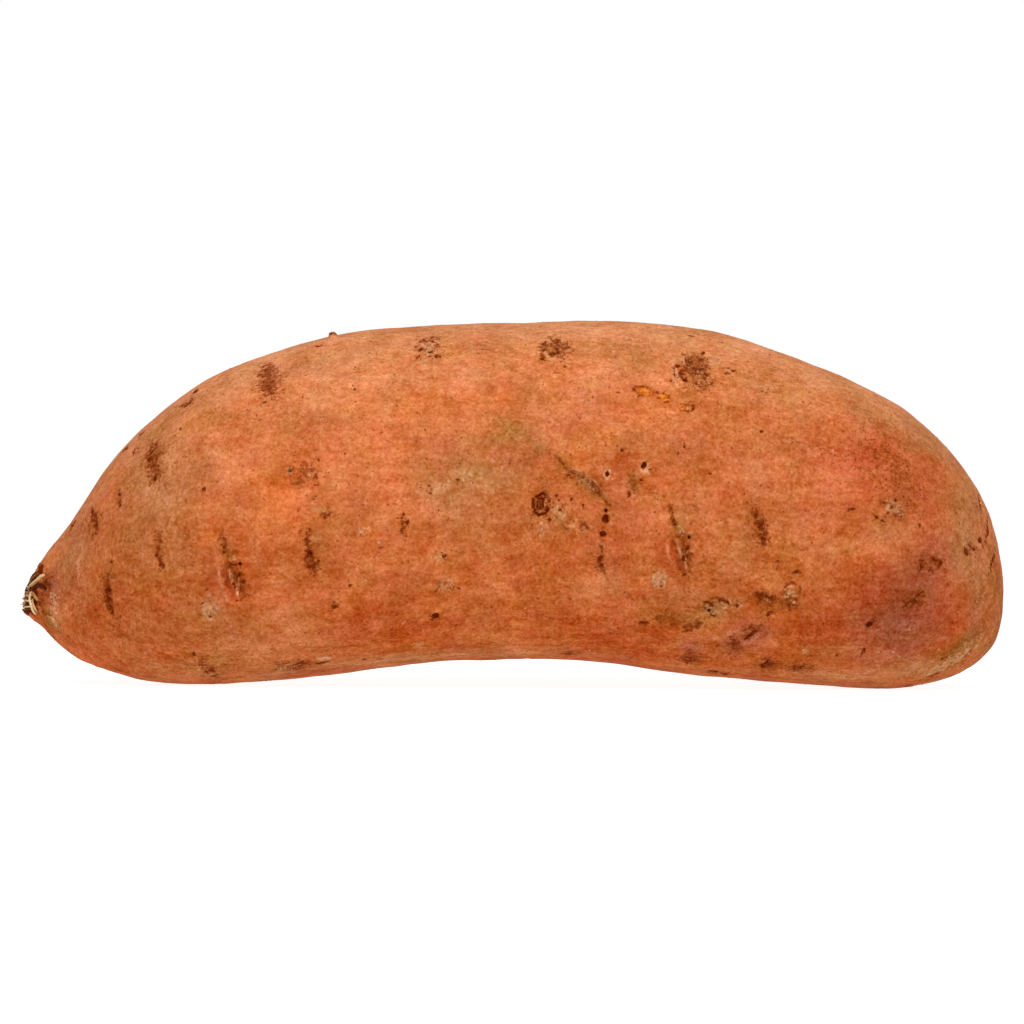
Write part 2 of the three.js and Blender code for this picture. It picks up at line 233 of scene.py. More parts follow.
# Single spots on the front: kind, x and z percent, half width and height in mm, and any lean in degrees.
SPOTS = [
    ("blotch", 25, 32, 1.6, 1.9), ("blotch", 24.8, 30.4, 1.1, 1.6, 10), ("stain", 25.5, 30.6, 1.8, 2.2),
    ("dot", 24.6, 28.9, 0.35, 0.2), ("stain", 24.9, 31, 2.4, 3.6), ("faint", 23.3, 28.1, 0.6, 0.5),
    ("dot", 24.9, 33.9, 0.4, 0.25, 10), ("streak", 17.1, 28.8, 1, 0.75, 20),
    ("streak", 17.6, 29.9, 1.1, 0.6, 50), ("stain", 16.6, 28.6, 1.8, 0.8, -40),
    ("blotch", 13.3, 23.6, 1.2, 2), ("blotch", 13.2, 22.3, 0.9, 1.4, 10), ("blotch", 13.4, 21.2, 1.1, 0.8),
    ("stain", 13.2, 22.8, 1.9, 3.8), ("dot", 12.8, 23, 0.3, 0.3), ("dot", 13.4, 21, 0.3, 0.4),
    ("blotch", 11.4, 23.8, 0.7, 0.7), ("streak", 9.9, 19.4, 0.25, 0.6, 8),
    ("streak", 9.8, 18.4, 0.28, 0.7, 10), ("stain", 9.9, 18.9, 0.6, 1.9), ("streak", 7.2, 17.2, 0.35, 1.2),
    ("streak", 7.5, 16.1, 0.35, 0.9, -12), ("blotch", 7.2, 16.7, 1, 2.2), ("blotch", 13.9, 15, 0.55, 1),
    ("blotch", 13.9, 13.4, 0.6, 1.5, -6), ("streak", 14.1, 12.3, 0.5, 0.9, -10),
    ("stain", 13.9, 13.8, 0.9, 3.6, -5), ("dot", 14.4, 12, 0.25, 0.3), ("dot", 13.6, 13, 0.3, 0.25),
    ("blotch", 8.6, 11, 0.9, 1.2), ("streak", 8.7, 9.4, 0.8, 1.4), ("streak", 9.1, 7.6, 0.4, 1.3, 12),
    ("dot", 8.7, 9.6, 0.35, 0.5), ("dot", 8.8, 8.6, 0.3, 0.4), ("blotch", 9, 8, 0.9, 2.2, 10),
    ("stain", 8.7, 9.5, 1.1, 3.4, -3), ("faint", 8.6, 14, 0.4, 0.4), ("dot", 9.1, 12.5, 0.28, 0.25),
    ("faint", 10.1, 12.2, 0.5, 0.4), ("halo", 11.4, 12, 0.25, 0.2), ("blotch", 39, 16.1, 0.8, 1.9),
    ("streak", 38.8, 15.7, 0.32, 0.9), ("dot", 39.3, 16.6, 0.3, 0.5, -25), ("dot", 39, 17.6, 0.22, 0.4, 15),
    ("halo", 35.2, 16, 0.9, 0.6), ("halo", 36.3, 14.6, 0.6, 0.4), ("cork", 34.6, 15.6, 1.6, 1.2),
    ("blotch", 29.1, 15.3, 0.9, 1.4, 12), ("streak", 29, 14.6, 0.5, 0.5), ("dot", 29.4, 15.9, 0.25, 0.25),
    ("streak", 29.3, 13.3, 0.6, 0.9), ("streak", 29.7, 11.9, 0.7, 0.8, -15),
    ("blotch", 29.5, 12.7, 1.1, 1.9), ("pit", 29.5, 13.3, 0.3, 0.45), ("dot", 29.8, 12.1, 0.5, 0.4),
    ("dot", 29.3, 14.1, 0.3, 0.4), ("dot", 30.2, 12.6, 0.25, 0.4), ("stain", 29.6, 12.5, 1.4, 2.4),
    # The small halo at 29.5, 13.3, inside the pit there, is a painted glint.
    ("halo", 29.5, 13.3, 0.2, 0.3), ("stain", 75, 18.4, 0.9, 2.2, 10), ("blotch", 74.8, 17.9, 0.7, 0.8),
    ("cork", 75.2, 17.4, 0.6, 0.5), ("streak", 75.4, 16.6, 0.7, 1, -8),
    ("streak", 75.7, 15.1, 0.55, 0.9, 10), ("stain", 75.5, 16, 1.9, 3), ("dot", 75.4, 16.5, 0.4, 0.6),
    ("dot", 75.7, 15, 0.35, 0.4), ("dot", 75, 17.6, 0.3, 0.3), ("cork", 75.9, 15.8, 0.5, 0.6),
    ("blotch", 75, 17.2, 0.9, 0.9), ("blotch", 75.6, 15.6, 1.3, 1.8), ("dot", 60.5, 17.6, 0.22, 0.22),
    ("halo", 60.1, 16.6, 0.3, 0.25), ("pit", 59.6, 18, 0.34, 0.4), ("pit", 59.6, 17.2, 0.66, 0.86),
    ("pit", 59.3, 15.5, 0.6, 0.58), ("dot", 59.2, 14.9, 0.24, 0.2), ("streak", 59, 14.3, 0.6, 0.6),
    ("blotch", 59.1, 12.8, 0.8, 2), ("dot", 59, 13.2, 0.34, 0.36), ("dot", 59.2, 12.5, 0.3, 0.3),
    ("dot", 59.4, 11.9, 0.3, 0.36), ("dot", 61.2, 24.1, 0.6, 0.3, 28), ("halo", 59.8, 21.8, 0.9, 1.1),
    ("pit", 59.6, 21.8, 0.4, 0.5), ("faint", 59.3, 20.6, 0.4, 0.8), ("halo", 63.6, 22.2, 1.25, 1.4),
    ("pit", 63.4, 22.6, 0.45, 0.65, -15), ("dot", 63.2, 21.1, 0.38, 0.3), ("dot", 64.1, 22.3, 0.25, 0.2),
    ("stain", 62.3, 21.2, 0.9, 1.5, 12), ("olive", 62.4, 20.8, 0.8, 1.8, 15),
    ("blotch", 62.4, 20.6, 0.7, 1.5, 18), ("dot", 62, 19.7, 0.24, 0.5, 15),
    ("faint", 62, 20.1, 0.5, 1.2, 18), ("dot", 61.8, 19.4, 0.25, 0.25), ("ochre", 60.3, 25.6, 0.6, 0.6),
    ("dot", 59.6, 24.9, 0.25, 0.25), ("dot", 55.9, 21.5, 0.6, 0.38, -30), ("dot", 56.1, 19.2, 0.28, 0.28),
    ("dot", 57.2, 18.6, 0.25, 0.28), ("faint", 51.7, 22.8, 0.5, 0.4), ("dot", 49.7, 22.8, 0.35, 0.3),
    ("dot", 41.7, 20.4, 0.5, 0.34), ("dot", 41.7, 19.7, 0.34, 0.28), ("ochre", 44.4, 21.1, 0.8, 0.4),
    ("dot", 44.5, 21, 0.5, 0.2), ("cork", 42.6, 20.3, 1.8, 1.2), ("cork", 45.4, 21.4, 2, 1.2),
    ("dot", 46.1, 20.3, 0.22, 0.2), ("halo", 43.4, 20.9, 0.6, 0.4), ("cork", 42.6, 13.3, 1.9, 1.4),
    ("ochre", 42.2, 13.5, 0.5, 0.4), ("dot", 43.1, 13.3, 0.5, 0.34), ("faint", 42.7, 12.9, 0.6, 0.3),
    ("cork", 43.2, 10.2, 2.4, 1.8), ("ochre", 42.2, 9.9, 0.6, 0.4, 25), ("dot", 42.2, 9.8, 0.42, 0.22, 25),
    ("halo", 43.8, 10.8, 0.7, 0.5), ("dot", 44.1, 10.1, 0.22, 0.25), ("dot", 44.8, 9.9, 0.22, 0.25),
    ("pit", 42.2, 7.1, 0.6, 0.48, -30), ("stain", 41.9, 6.9, 1.1, 0.8, -30), ("dot", 41.8, 6.8, 0.25, 0.25),
    ("blotch", 31.9, 8.2, 0.9, 0.8), ("dot", 31.9, 8, 0.5, 0.4), ("dot", 33.5, 10.1, 0.38, 0.32),
    ("cork", 36.6, 14.2, 1, 0.5), ("dot", 36.5, 14.1, 0.5, 0.14), ("stain", 18.4, 19.9, 0.9, 0.8),
    ("dot", 18.5, 19.9, 0.42, 0.38), ("dot", 16.1, 26.1, 0.25, 0.22), ("dot", 19.7, 28.1, 0.22, 0.2),
    ("dot", 16.4, 23.3, 0.22, 0.2), ("dot", 15.6, 22.7, 0.2, 0.2), ("dot", 33.7, 30.7, 0.25, 0.2),
    ("dot", 33.9, 30.3, 0.28, 0.2), ("dot", 33, 23.7, 0.25, 0.18), ("dot", 75.4, 26.2, 0.3, 0.3),
    ("faint", 77.2, 27.2, 0.4, 0.3), ("stain", 77.5, 25.9, 0.8, 0.4, -35),
    ("stain", 78.6, 25.2, 0.9, 0.4, -40), ("faint", 69.7, 25.4, 0.5, 0.4), ("dot", 72.4, 24.4, 0.24, 0.24),
    ("dot", 66.9, 23.9, 0.26, 0.24), ("dot", 67.6, 24.6, 0.2, 0.2), ("stain", 75.8, 30, 1, 0.6),
    ("dot", 70.2, 21.9, 0.5, 0.2, 10), ("faint", 76.3, 21.3, 0.5, 0.8), ("dot", 77, 13, 0.5, 0.2, 35),
    ("faint", 76.9, 12.2, 0.5, 0.25, 25), ("stain", 63.4, 6.4, 1.6, 0.9), ("dot", 63.5, 6.5, 0.7, 0.34),
    ("stain", 65.6, 6.9, 3, 1.2), ("faint", 65.2, 7.2, 1.2, 0.5), ("faint", 66.4, 6.6, 1.2, 0.5),
    ("stain", 67.4, 6.9, 1.6, 1), ("ochre", 68.5, 6.3, 1.7, 0.8, 12), ("streak", 69.2, 6.5, 0.8, 0.6),
    ("blotch", 68.6, 6.2, 1.5, 0.8, 12), ("streak", 68, 5.8, 0.8, 0.34, 15),
    ("stain", 68.2, 3.1, 2.2, 1.8, 20), ("streak", 68.2, 2.6, 1.3, 0.7, 12),
    ("blotch", 68.4, 3, 1.5, 1.2, 20), ("stain", 70.2, 2.9, 2.4, 0.6, 8), ("dot", 71, 4.2, 0.45, 0.2, 50),
    ("streak", 70.8, 1.5, 1.5, 0.6), ("streak", 71.9, 1.3, 1.2, 0.5), ("stain", 71.2, 1.7, 3, 1.1),
    ("stain", 76.1, 2.4, 2.6, 1.3, 38), ("blotch", 76.1, 2.4, 1.9, 0.9, 36),
    ("stain", 79.5, 2.1, 3, 1.1, 14), ("blotch", 79.5, 2, 2.1, 0.7, 12),
    ("streak", 79.2, 1.8, 1.2, 0.44, 10), ("streak", 76, 2.2, 1.3, 0.5, 34),
    ("dot", 80.1, 2.3, 0.5, 0.22, 20), ("dot", 78.6, 1.8, 0.5, 0.25, 20), ("dot", 77, 3.5, 0.24, 0.24),
    ("dot", 72.4, 2.9, 0.24, 0.24), ("halo", 79.9, 3.8, 0.8, 0.4), ("dot", 79.9, 3.8, 0.2, 0.15),
    ("stain", 72.7, 4.5, 1.5, 1.5), ("blotch", 72.7, 4.4, 0.9, 1), ("streak", 56, 3.3, 1.8, 0.5, 5),
    ("stain", 56.3, 3.5, 3, 1, 5), ("pit", 86.5, 6.5, 0.62, 0.5, 25), ("streak", 87, 6.9, 0.7, 0.3, 30),
    ("stain", 86.8, 6.7, 1.4, 0.9, 30), ("faint", 88.1, 7.3, 0.5, 0.3, 35),
    ("blotch", 91.1, 9, 2.4, 1.4, 32), ("dot", 91.5, 9.6, 0.4, 0.34), ("dot", 91.2, 8.8, 0.7, 0.3, 15),
    ("stain", 91.1, 9, 3.4, 2.2, 32), ("dot", 90.3, 8.4, 0.5, 0.3, 30), ("dot", 92, 9.9, 0.4, 0.3, 30),
    ("blotch", 92.8, 12.6, 1.4, 1.2, 25), ("stain", 92.7, 12.6, 2.4, 1.8, 25),
    ("dot", 91.9, 12.5, 0.45, 0.55), ("dot", 93.7, 12.5, 0.4, 0.6, -8), ("streak", 93.7, 13.1, 0.6, 0.4),
    ("streak", 91.9, 12.9, 0.6, 0.5, 20), ("dot", 92.8, 12.2, 0.3, 0.3), ("dot", 86, 3.9, 0.24, 0.34, -15),
    ("dot", 87.7, 19.3, 0.32, 0.25, -20), ("dot", 88, 19, 0.18, 0.24), ("dot", 84.8, 18.3, 0.85, 0.28, 36),
    ("dot", 87.3, 17.5, 0.38, 0.25, -20), ("dot", 88, 17.1, 0.45, 0.26), ("dot", 89.6, 18.2, 0.26, 0.24),
    ("faint", 89.1, 17.6, 0.7, 0.3), ("stain", 88.9, 18.2, 2, 1.5), ("cork", 88.9, 18.6, 1.9, 1.5),
    ("crust", 89.5, 17.9, 1.1, 0.8), ("ochre", 88.4, 19, 0.8, 0.5, 20), ("dot", 88.4, 18, 0.3, 0.25),
    ("dot", 89.2, 19.2, 0.3, 0.24), ("dot", 88.9, 18.5, 0.34, 0.2, 30), ("faint", 88.2, 18.9, 0.6, 0.4),
    ("dot", 91.6, 16.7, 0.5, 0.2, -42), ("dot", 92, 16.3, 0.3, 0.18, -42),
    ("streak", 98, 15.3, 0.28, 0.55, -10), ("dot", 96.6, 13.9, 0.6, 0.6, 10),
    ("streak", 97.2, 14.4, 0.7, 0.5, 30), ("dot", 97.9, 15.2, 0.35, 0.4), ("stain", 97, 14.2, 1.6, 1.4, 20),
    ("faint", 97.1, 10.9, 0.35, 0.35), ("faint", 97.3, 9.5, 0.4, 0.5), ("dot", 83.2, 3.3, 0.36, 0.32),
    ("streak", 94.6, 3.2, 1.3, 0.3, 24), ("cork", 96.3, 3.9, 4.6, 1.5, 40), ("cork", 95.4, 3, 3.4, 1.2, 38),
    ("olive", 96, 3.6, 4.6, 1.6, 40), ("cork", 93.4, 2, 3.2, 0.7, 28), ("stain", 97.6, 5.2, 1.8, 0.7, 52),
    ("streak", 96.6, 3.6, 1.2, 0.24, 42), ("streak", 93.2, 1.4, 1.6, 0.24, 22),
    ("faint", 95.3, 18.3, 0.8, 0.9), ("streak", 99.3, 13.2, 0.3, 2.4, 5),
    ("streak", 98.7, 16.4, 0.3, 2.2, 12), ("streak", 97.9, 18.9, 0.3, 1.6, 20),
    ("crust", 27.8, 1.9, 2.9, 1.5), ("blotch", 28.2, 1.7, 1.8, 1.2), ("cork", 26.5, 1.6, 0.9, 0.6),
    ("streak", 28.6, 2.2, 0.9, 0.5, 10), ("halo", 27.2, 2.1, 0.6, 0.35), ("halo", 28.6, 2.6, 0.5, 0.25),
    ("stain", 29.4, 2.3, 3.6, 1.2), ("ring", 30.9, 2.7, 1.8, 0.5, -5), ("gap", 30.6, 2.1, 1.7, 0.34, 10),
    ("dot", 35.1, 2.6, 0.4, 0.25, 15), ("dot", 34.4, 1.7, 0.8, 0.2, 5), ("cork", 40.5, 4.2, 1.2, 1),
    ("faint", 40.6, 3.9, 0.9, 0.35, 15), ("blotch", 18.6, 2.3, 0.9, 1.1, -30),
    ("streak", 19.2, 1.4, 1.1, 0.8, -45), ("streak", 19.7, 0.8, 0.9, 0.6, -40),
    ("stain", 19, 1.8, 2.4, 1.5, -35), ("halo", 18.2, 1.6, 0.4, 0.3), ("dot", 17.6, 3.2, 0.4, 0.3),
    ("russet", 88.2, 22.8, 7, 5, -30), ("russet", 88.6, 23.2, 4.6, 3, -30),
    ("russet", 90.6, 20.4, 3, 2.4, -30), ("russet", 41.5, 6.1, 12, 1.1), ("russet", 60, 6, 9, 1.8),
    ("russet", 53, 7.4, 6, 1.2), ("russet", 31, 5.4, 5, 1, -8), ("russet", 80.5, 5.6, 7, 2, 8),
    ("russet", 66, 3, 8, 1), ("russet", 10.5, 7, 3, 3, -40), ("russet", 34.5, 7, 5, 1.2),
    ("russet", 81.5, 24, 4, 2.4), ("nub", 31.6, 35.5, 0.8, 0.6), ("dot", 30.2, 34.6, 0.6, 0.22, -12),
    ("blotch", 5, 16.2, 0.7, 0.6, 40), ("dot", 5.2, 16.4, 0.5, 0.3, 40), ("blotch", 10.4, 24, 0.8, 0.5, 45),
    ("dot", 10.6, 24.1, 0.5, 0.3, 45), ("dot", 11.9, 25.5, 0.5, 0.3, 45),
    ("blotch", 12.1, 25.6, 0.7, 0.5, 45), ("dot", 68.2, 35.9, 0.8, 0.22, -8),
    ("dot", 71.4, 35.2, 0.4, 0.22), ("stain", 69.3, 36, 1.8, 0.5),
]

# Where a side root broke out, the skin split: a beaded line, a corky cap, and strands between a raised fold,
# lightened with a painted highlight, and a crease darkened with painted shade. The dark inside the split is
# partly dead tissue and partly painted shadow. The strokes of a group are in mm from its place: spots as kind,
# across, up, half width, half height and any lean, and lines as kind, half width and points.
SLIT = [
    ("faint", -1.9, 7, 0.9, 3.2, 14), ("stain", 0.8, 0.4, 1.7, 4.2, 14), ("olive", -0.9, 5.4, 1.2, 2, 14),
    ("scratch", 0.34, [(-2.4, 10.2), (-2.3, 8.6), (-1.9, 7), (-1.4, 5.4), (-0.9, 4.2)]),
    ("dot", -1.9, 7.9, 0.28, 0.28), ("dot", -1.9, 6.5, 0.32, 0.28), ("dot", -1.7, 5.6, 0.34, 0.28),
    ("groove", 0.55, [(-2, 3.6), (-1.7, 1.6), (-1.2, -0.4), (-0.6, -2.2), (0.2, -3.6)]),
    ("lip", 0.46, [(-2.8, 3.4), (-2.8, 1.2), (-2.3, -0.7), (-1.6, -2.3), (-0.5, -4.1)]),
    ("cork", 0, 4.4, 1.1, 0.8, 20), ("mouth", 0.2, 0.2, 0.8, 3.2, 14), ("ochre", 0.9, 0.9, 0.8, 1.8, 12),
    ("strand", 0.3, [(-1.3, 3.4), (-0.9, 1.8), (-0.4, 0.4), (0.1, -0.7), (0.5, -1.6)]),
    ("strand", 0.26, [(-0.9, 1.6), (-0.6, 0.4), (-0.5, -0.4)]),
    ("strand", 0.22, [(0.6, 1), (0.8, 0), (0.7, -1)]),
    ("ring", 0.3, [(0.5, -0.2), (0.6, -1.2), (0.6, -2.6)]),
    ("gap", 0.2, [(-0.2, 0.2), (0, -0.5), (0.2, -1.2)]), ("crack", 0.2, [(1, 2), (0.6, 1), (0.7, 0)]),
    ("crack", 0.5, [(-1.1, 3.9), (-0.3, 3.2), (0.8, 3.3)]), ("pit", 1.1, 3.5, 0.32, 0.32),
    ("dot", 0.9, 1.4, 0.36, 0.34), ("dot", 1.3, -0.2, 0.3, 0.5, 20), ("dot", 0.4, -3.3, 0.4, 0.3),
    ("faint", 1.4, -2, 0.5, 0.8, 10), ("dot", 1.6, 0.4, 0.26, 0.3),
]

# The larger scars of the front: x and z percent of each, and its strokes.
GROUPS = [
    (21.7, 10.4, SLIT), (67.5, 13.4, SLIT),
    (68.9, 32.3, [
        ("stain", 0, 0.2, 3.4, 4), ("cork", 2.8, 1.8, 1.6, 2.2), ("patch", -3.5, 2.1, 0.8, 0.7),
        ("plate", -0.3, 1.1, 2.2, 2.1, -8), ("crust", 0.9, -2, 1.9, 1.4),
        ("blotch", -3, -0.5, 0.7, 1.7, -25),
        ("ring", 0.3, [(-4.3, 2.5), (-4.9, 0.6), (-4.7, -1.4), (-3.8, -3), (-2.5, -3.7), (-1.6, -2.9)]),
        ("ring", 0.26, [(-4, 0.7), (-3.9, -0.9), (-3.3, -2.2), (-2.3, -2.6)]),
        ("crack", 0.26, [(-4.5, 0.9), (-4.5, -0.2), (-4.2, -1.3)]),
        ("ring", 0.24, [(-3.2, 2.4), (-2.6, 1.8), (-2.4, 0.6)]),
        ("crack", 0.24, [(-2.2, 2.3), (-2.4, 1.3), (-2.1, 0.1)]), ("pit", -3.6, 0.9, 0.46, 0.36),
        ("dot", -3.2, -0.4, 0.46, 0.46), ("pit", -2.5, -1.7, 0.46, 0.4), ("pit", -2.8, 3.1, 0.4, 0.26),
        ("pit", 1.1, 3.3, 0.36, 0.34), ("dot", -4.8, -2, 0.36, 0.28), ("dot", 0.5, 1.9, 0.5, 0.3),
        ("dot", 0.7, 0.2, 0.5, 0.36), ("dot", -0.7, 0.3, 0.5, 0.36), ("dot", -1.6, 1.5, 0.5, 0.4),
        ("dot", 1.6, -0.9, 0.6, 0.36), ("dot", 2.3, -2.4, 0.34, 0.3),
        ("crack", 0.24, [(-1.9, 0.8), (-1.5, 2.1), (-0.4, 2.4)]),
        ("scratch", 0.3, [(1.4, 2.6), (1.9, 1.4), (1.6, 0.2)]),
        ("crack", 0.24, [(-1.8, -0.6), (-0.6, -0.4), (0.2, -1)]),
        ("strand", 0.2, [(-0.6, -1), (0.2, -1.4), (0.7, -0.9)]),
        ("crack", 0.24, [(-0.8, -2.2), (0.6, -3), (2.1, -2.9)]),
    ]),
    (71.9, 32.3, [
        ("halo", 0, 0, 0.9, 0.32), ("crack", 0.22, [(-1.4, 0.3), (-0.2, 0.6), (1.2, 0)]),
        ("crack", 0.2, [(-0.7, -0.5), (0.4, -0.5), (1.2, 0)]), ("dot", 1.2, 0, 0.4, 0.26),
    ]),
    (63.2, 30.3, [
        ("flesh", 0.3, -0.1, 1.5, 0.62, -16), ("blotch", -1.4, 0.2, 0.6, 0.6),
        ("orange", 0, 0, 2.2, 1.3, -16),
        ("crack", 0.24, [(-1.5, 0.9), (-0.3, 0.8), (0.9, 0.6), (1.5, 0.1)]),
        ("crack", 0.18, [(-0.6, -0.8), (0.5, -0.9), (1.2, -0.7)]),
    ]),
    (65.4, 29.6, [
        ("flesh", 0, -0.2, 1.1, 0.6, -24), ("dot", -1.1, 0.9, 0.46, 0.32, 20),
        ("orange", 0, 0, 1.8, 1.3, -20), ("crack", 0.24, [(-0.4, 0.7), (0.5, 0.4), (1.4, 0.1)]),
        ("crack", 0.26, [(0.1, -0.8), (0.7, -0.9), (1.2, -0.6)]),
        ("crack", 0.2, [(-1.2, -0.1), (-0.6, 0.1), (0, 0)]),
    ]),
    (67.7, 28.6, [
        ("flesh", -0.8, 0, 0.44, 0.4), ("stain", 0.7, 0.2, 0.8, 0.8), ("orange", -0.1, 0.1, 1.2, 0.8),
        ("crack", 0.26, [(-1.4, 0.5), (-1.3, -0.2), (-0.7, -0.8), (0.2, -0.9), (1, -0.6), (1.4, 0.3),
                         (1.1, 1)]),
        ("crack", 0.22, [(1.1, 1), (0.4, 0.8), (-0.1, 0.3), (-0.7, 0.7), (-1.4, 0.5)]),
    ]),
    (53, 18.6, [
        ("stain", 0, 0, 2.6, 2.8), ("blotch", 0, -0.1, 1.3, 1.6),
        ("gap", 0.24, [(-1.5, 1), (-0.4, 1.8), (0.6, 2), (1.3, 1.2), (1.4, -0.1)]),
        ("cork", 0.1, 0.4, 0.5, 0.7),
        ("gap", 0.26, [(1.4, -0.1), (0.9, -1.5), (-0.3, -1.9), (-1.2, -1.3), (-1.4, 0), (-1.5, 1)]),
        ("gap", 0.17, [(-0.8, 0.8), (-0.1, 1.1), (0.6, 0.7), (0.6, -0.4), (-0.1, -0.9), (-0.8, -0.4),
                       (-0.8, 0.8)]),
        ("crack", 0.2, [(-0.2, 0.7), (0.1, -0.2), (-0.3, -0.9)]),
        ("ring", 0.12, [(0.4, 1), (0.7, 0.2), (0.5, -0.8)]), ("dot", -1.6, -1.9, 0.26, 0.24),
        ("dot", 1.4, -2.7, 0.46, 0.24, -10), ("dot", 2.6, 1.5, 0.28, 0.28), ("dot", 3, 0.9, 0.2, 0.2),
        ("streak", 3.5, -1.1, 0.75, 0.3), ("dot", 5.6, 1, 0.26, 0.26), ("faint", -2.6, 2.4, 0.6, 0.5),
        ("scratch", 0.2, [(1.8, -1.5), (3.3, -3.1), (5.2, -4.9), (7.4, -6.4), (8.8, -7.4)]),
        ("scratch", 0.16, [(2.6, -0.6), (4.6, -2), (6.6, -3.2), (8.4, -4.2)]),
        ("cork", 4.4, -2.6, 3.4, 1.4, -42), ("lip", 0.14, [(2.2, -1.4), (3.7, -3.1), (5.2, -4.6)]),
        ("faint", 6, -2.9, 0.6, 0.35, -20), ("cork", 0.2, -4, 1.5, 2), ("halo", 0.1, -3.4, 0.5, 0.4),
        ("faint", 0.4, -4.9, 0.4, 0.3),
    ]),
    (57.3, 16.3, [
        ("stain", 0.1, 0, 1.2, 1),
        ("crack", 0.24, [(-0.8, -0.7), (-0.6, 0.3), (0.1, 0.6), (0.8, 0), (1, -0.8)]),
        ("cork", 0.1, -0.3, 0.6, 0.5),
    ]),
    (41.3, 34.4, [
        ("stain", 0.2, 0.6, 3, 2.7), ("stain", 0, 1.2, 1.8, 1.2), ("faint", 0, 0.2, 2.4, 1.7),
        ("cork", 0.2, 0, 2.6, 1.8), ("halo", -0.9, 0.7, 0.6, 0.35), ("halo", 0.7, 1, 0.5, 0.3),
        ("dot", -0.4, 1.5, 0.34, 0.26), ("dot", 1.1, 1.3, 0.36, 0.3), ("dot", 0.6, 2.2, 0.46, 0.26, -25),
        ("dot", -1.2, 1.4, 0.3, 0.22), ("dot", -1.5, 0, 0.34, 0.28),
        ("crack", 0.17, [(-1.5, -1), (-2, -1.8), (-1.6, -2.2)]),
        ("crack", 0.15, [(1, 0.1), (1.5, 0.4), (1.9, 0.1)]), ("dot", 0.4, -0.5, 0.4, 0.22),
        ("halo", 0.4, -1.4, 0.9, 0.45), ("pit", 0.4, -1.4, 0.36, 0.24), ("dot", 1.4, -1.4, 0.32, 0.36),
        ("dot", 2.2, -1.5, 0.22, 0.24), ("cork", -0.8, -2.7, 1.2, 0.7),
    ]),
    (54, 34.2, [
        ("stain", 0.5, 1, 3.2, 2.5), ("blotch", 0.9, 1.4, 2.2, 1.4), ("stain", 0.6, -0.2, 1.8, 1.2),
        ("stain", 2.4, 0.2, 0.8, 1.8), ("stain", -1.7, 0.3, 0.9, 1.5), ("blotch", -1.8, -0.4, 0.6, 0.7),
        ("dot", -1.8, -1.2, 0.6, 0.26, -25), ("dot", -1.2, 1.5, 0.5, 0.36), ("dot", 1.4, 0, 0.7, 0.34, 10),
        ("dot", 1, 0.6, 0.3, 0.3), ("dot", 3.2, 1.1, 0.3, 0.22), ("halo", 3.2, 0.5, 0.34, 0.3),
        ("ring", 0.36, [(-1.2, 0.5), (-1.1, -0.6), (-0.3, -1.4), (0.6, -1), (0.9, -0.2)]),
        ("pit", -0.4, -0.2, 0.28, 0.28), ("crack", 0.2, [(-0.3, 0.5), (0.3, 0.2), (0.3, -0.6), (0, -0.9)]),
        ("dot", 0.7, -3.8, 0.34, 0.22), ("dot", 2.2, -2.6, 0.3, 0.22), ("faint", -1.4, -2.7, 0.3, 0.2),
    ]),
    (71, 8.2, [
        ("cork", 0, -0.1, 3.2, 2.1, -8), ("cork", 4.2, 0.6, 2, 1.3), ("olive", -0.6, 0, 2.4, 1.8),
        ("streak", 0.7, 1.5, 1.1, 0.34, -8), ("streak", -1.3, 0.7, 1.1, 0.4, -20),
        ("blotch", -1.1, 0.2, 1.2, 0.9, -20), ("pit", -1.3, -0.5, 0.34, 0.28),
        ("streak", -1, -1.7, 0.8, 0.3, -10), ("blotch", 0.9, 1.3, 1.4, 0.5, -8),
        ("crack", 0.2, [(0.2, -0.4), (0.5, 0.4), (1.4, 0.4)]),
        ("crack", 0.18, [(-0.9, -0.7), (-0.4, -1.1), (0.1, -1.8)]), ("dot", 1.8, 1.1, 0.36, 0.22, -20),
        ("faint", 3.2, 0.6, 0.7, 0.5), ("dot", 3.8, 0.6, 0.28, 0.24), ("dot", 4.4, 0.9, 0.26, 0.22),
        ("dot", -2.5, -0.4, 0.4, 0.3), ("crack", 0.2, [(-2.6, 0.9), (-2.2, 0.2), (-2.4, -0.6)]),
    ]),
    (77.4, 9, [
        ("stain", -1.5, 0.2, 4.6, 1.6, -5), ("ochre", -2.4, 0.1, 2.2, 0.9, -12),
        ("blotch", -2.6, 0.5, 1.9, 0.9, -12), ("streak", -3, 0.7, 1.2, 0.6),
        ("streak", -1.8, 0.1, 1, 0.44, -15), ("ochre", 0.6, -0.6, 1.6, 0.4, 5), ("stain", 2.2, 0.6, 2, 2.2),
        ("ochre", 1.9, 0.7, 1.4, 1.1), ("streak", 2.3, -1, 1.2, 0.5, -18),
        ("blotch", 1.2, 1.6, 0.8, 0.9, 30),
        ("crack", 0.32, [(0.7, 1.9), (1.5, 2.8), (2.4, 3.2), (3.3, 2.8)]),
        ("crack", 0.24, [(3.3, 2.8), (3.7, 1.9), (3.5, 1)]),
        ("crack", 0.2, [(1, -0.2), (1.9, 0.4), (2.8, 0)]), ("streak", -1.4, -2.2, 0.9, 0.44, 50),
        ("ochre", -2.8, -1.9, 0.9, 0.3, -8), ("dot", 2.9, 0.1, 0.36, 0.26), ("dot", 2.9, 5.2, 0.6, 0.3, 30),
        ("stain", 2.9, 5, 1.2, 0.8, 30), ("cork", 1.9, 1, 1.3, 0.9), ("halo", 1.2, 0.5, 0.7, 0.35, 20),
        ("halo", -2.1, 0, 0.7, 0.3, -12), ("ring", 0.24, [(0.6, 1.6), (1.4, 2.4), (2.3, 2.7), (3, 2.3)]),
        ("halo", 2.6, -0.6, 0.6, 0.3, -15),
    ]),
    (74.5, 5.6, [
        ("stain", 0, 0, 3.2, 1.9, 32), ("purple", 0, 0, 3, 2.2, 32), ("blotch", 0.2, 0.2, 2, 1.2, 35),
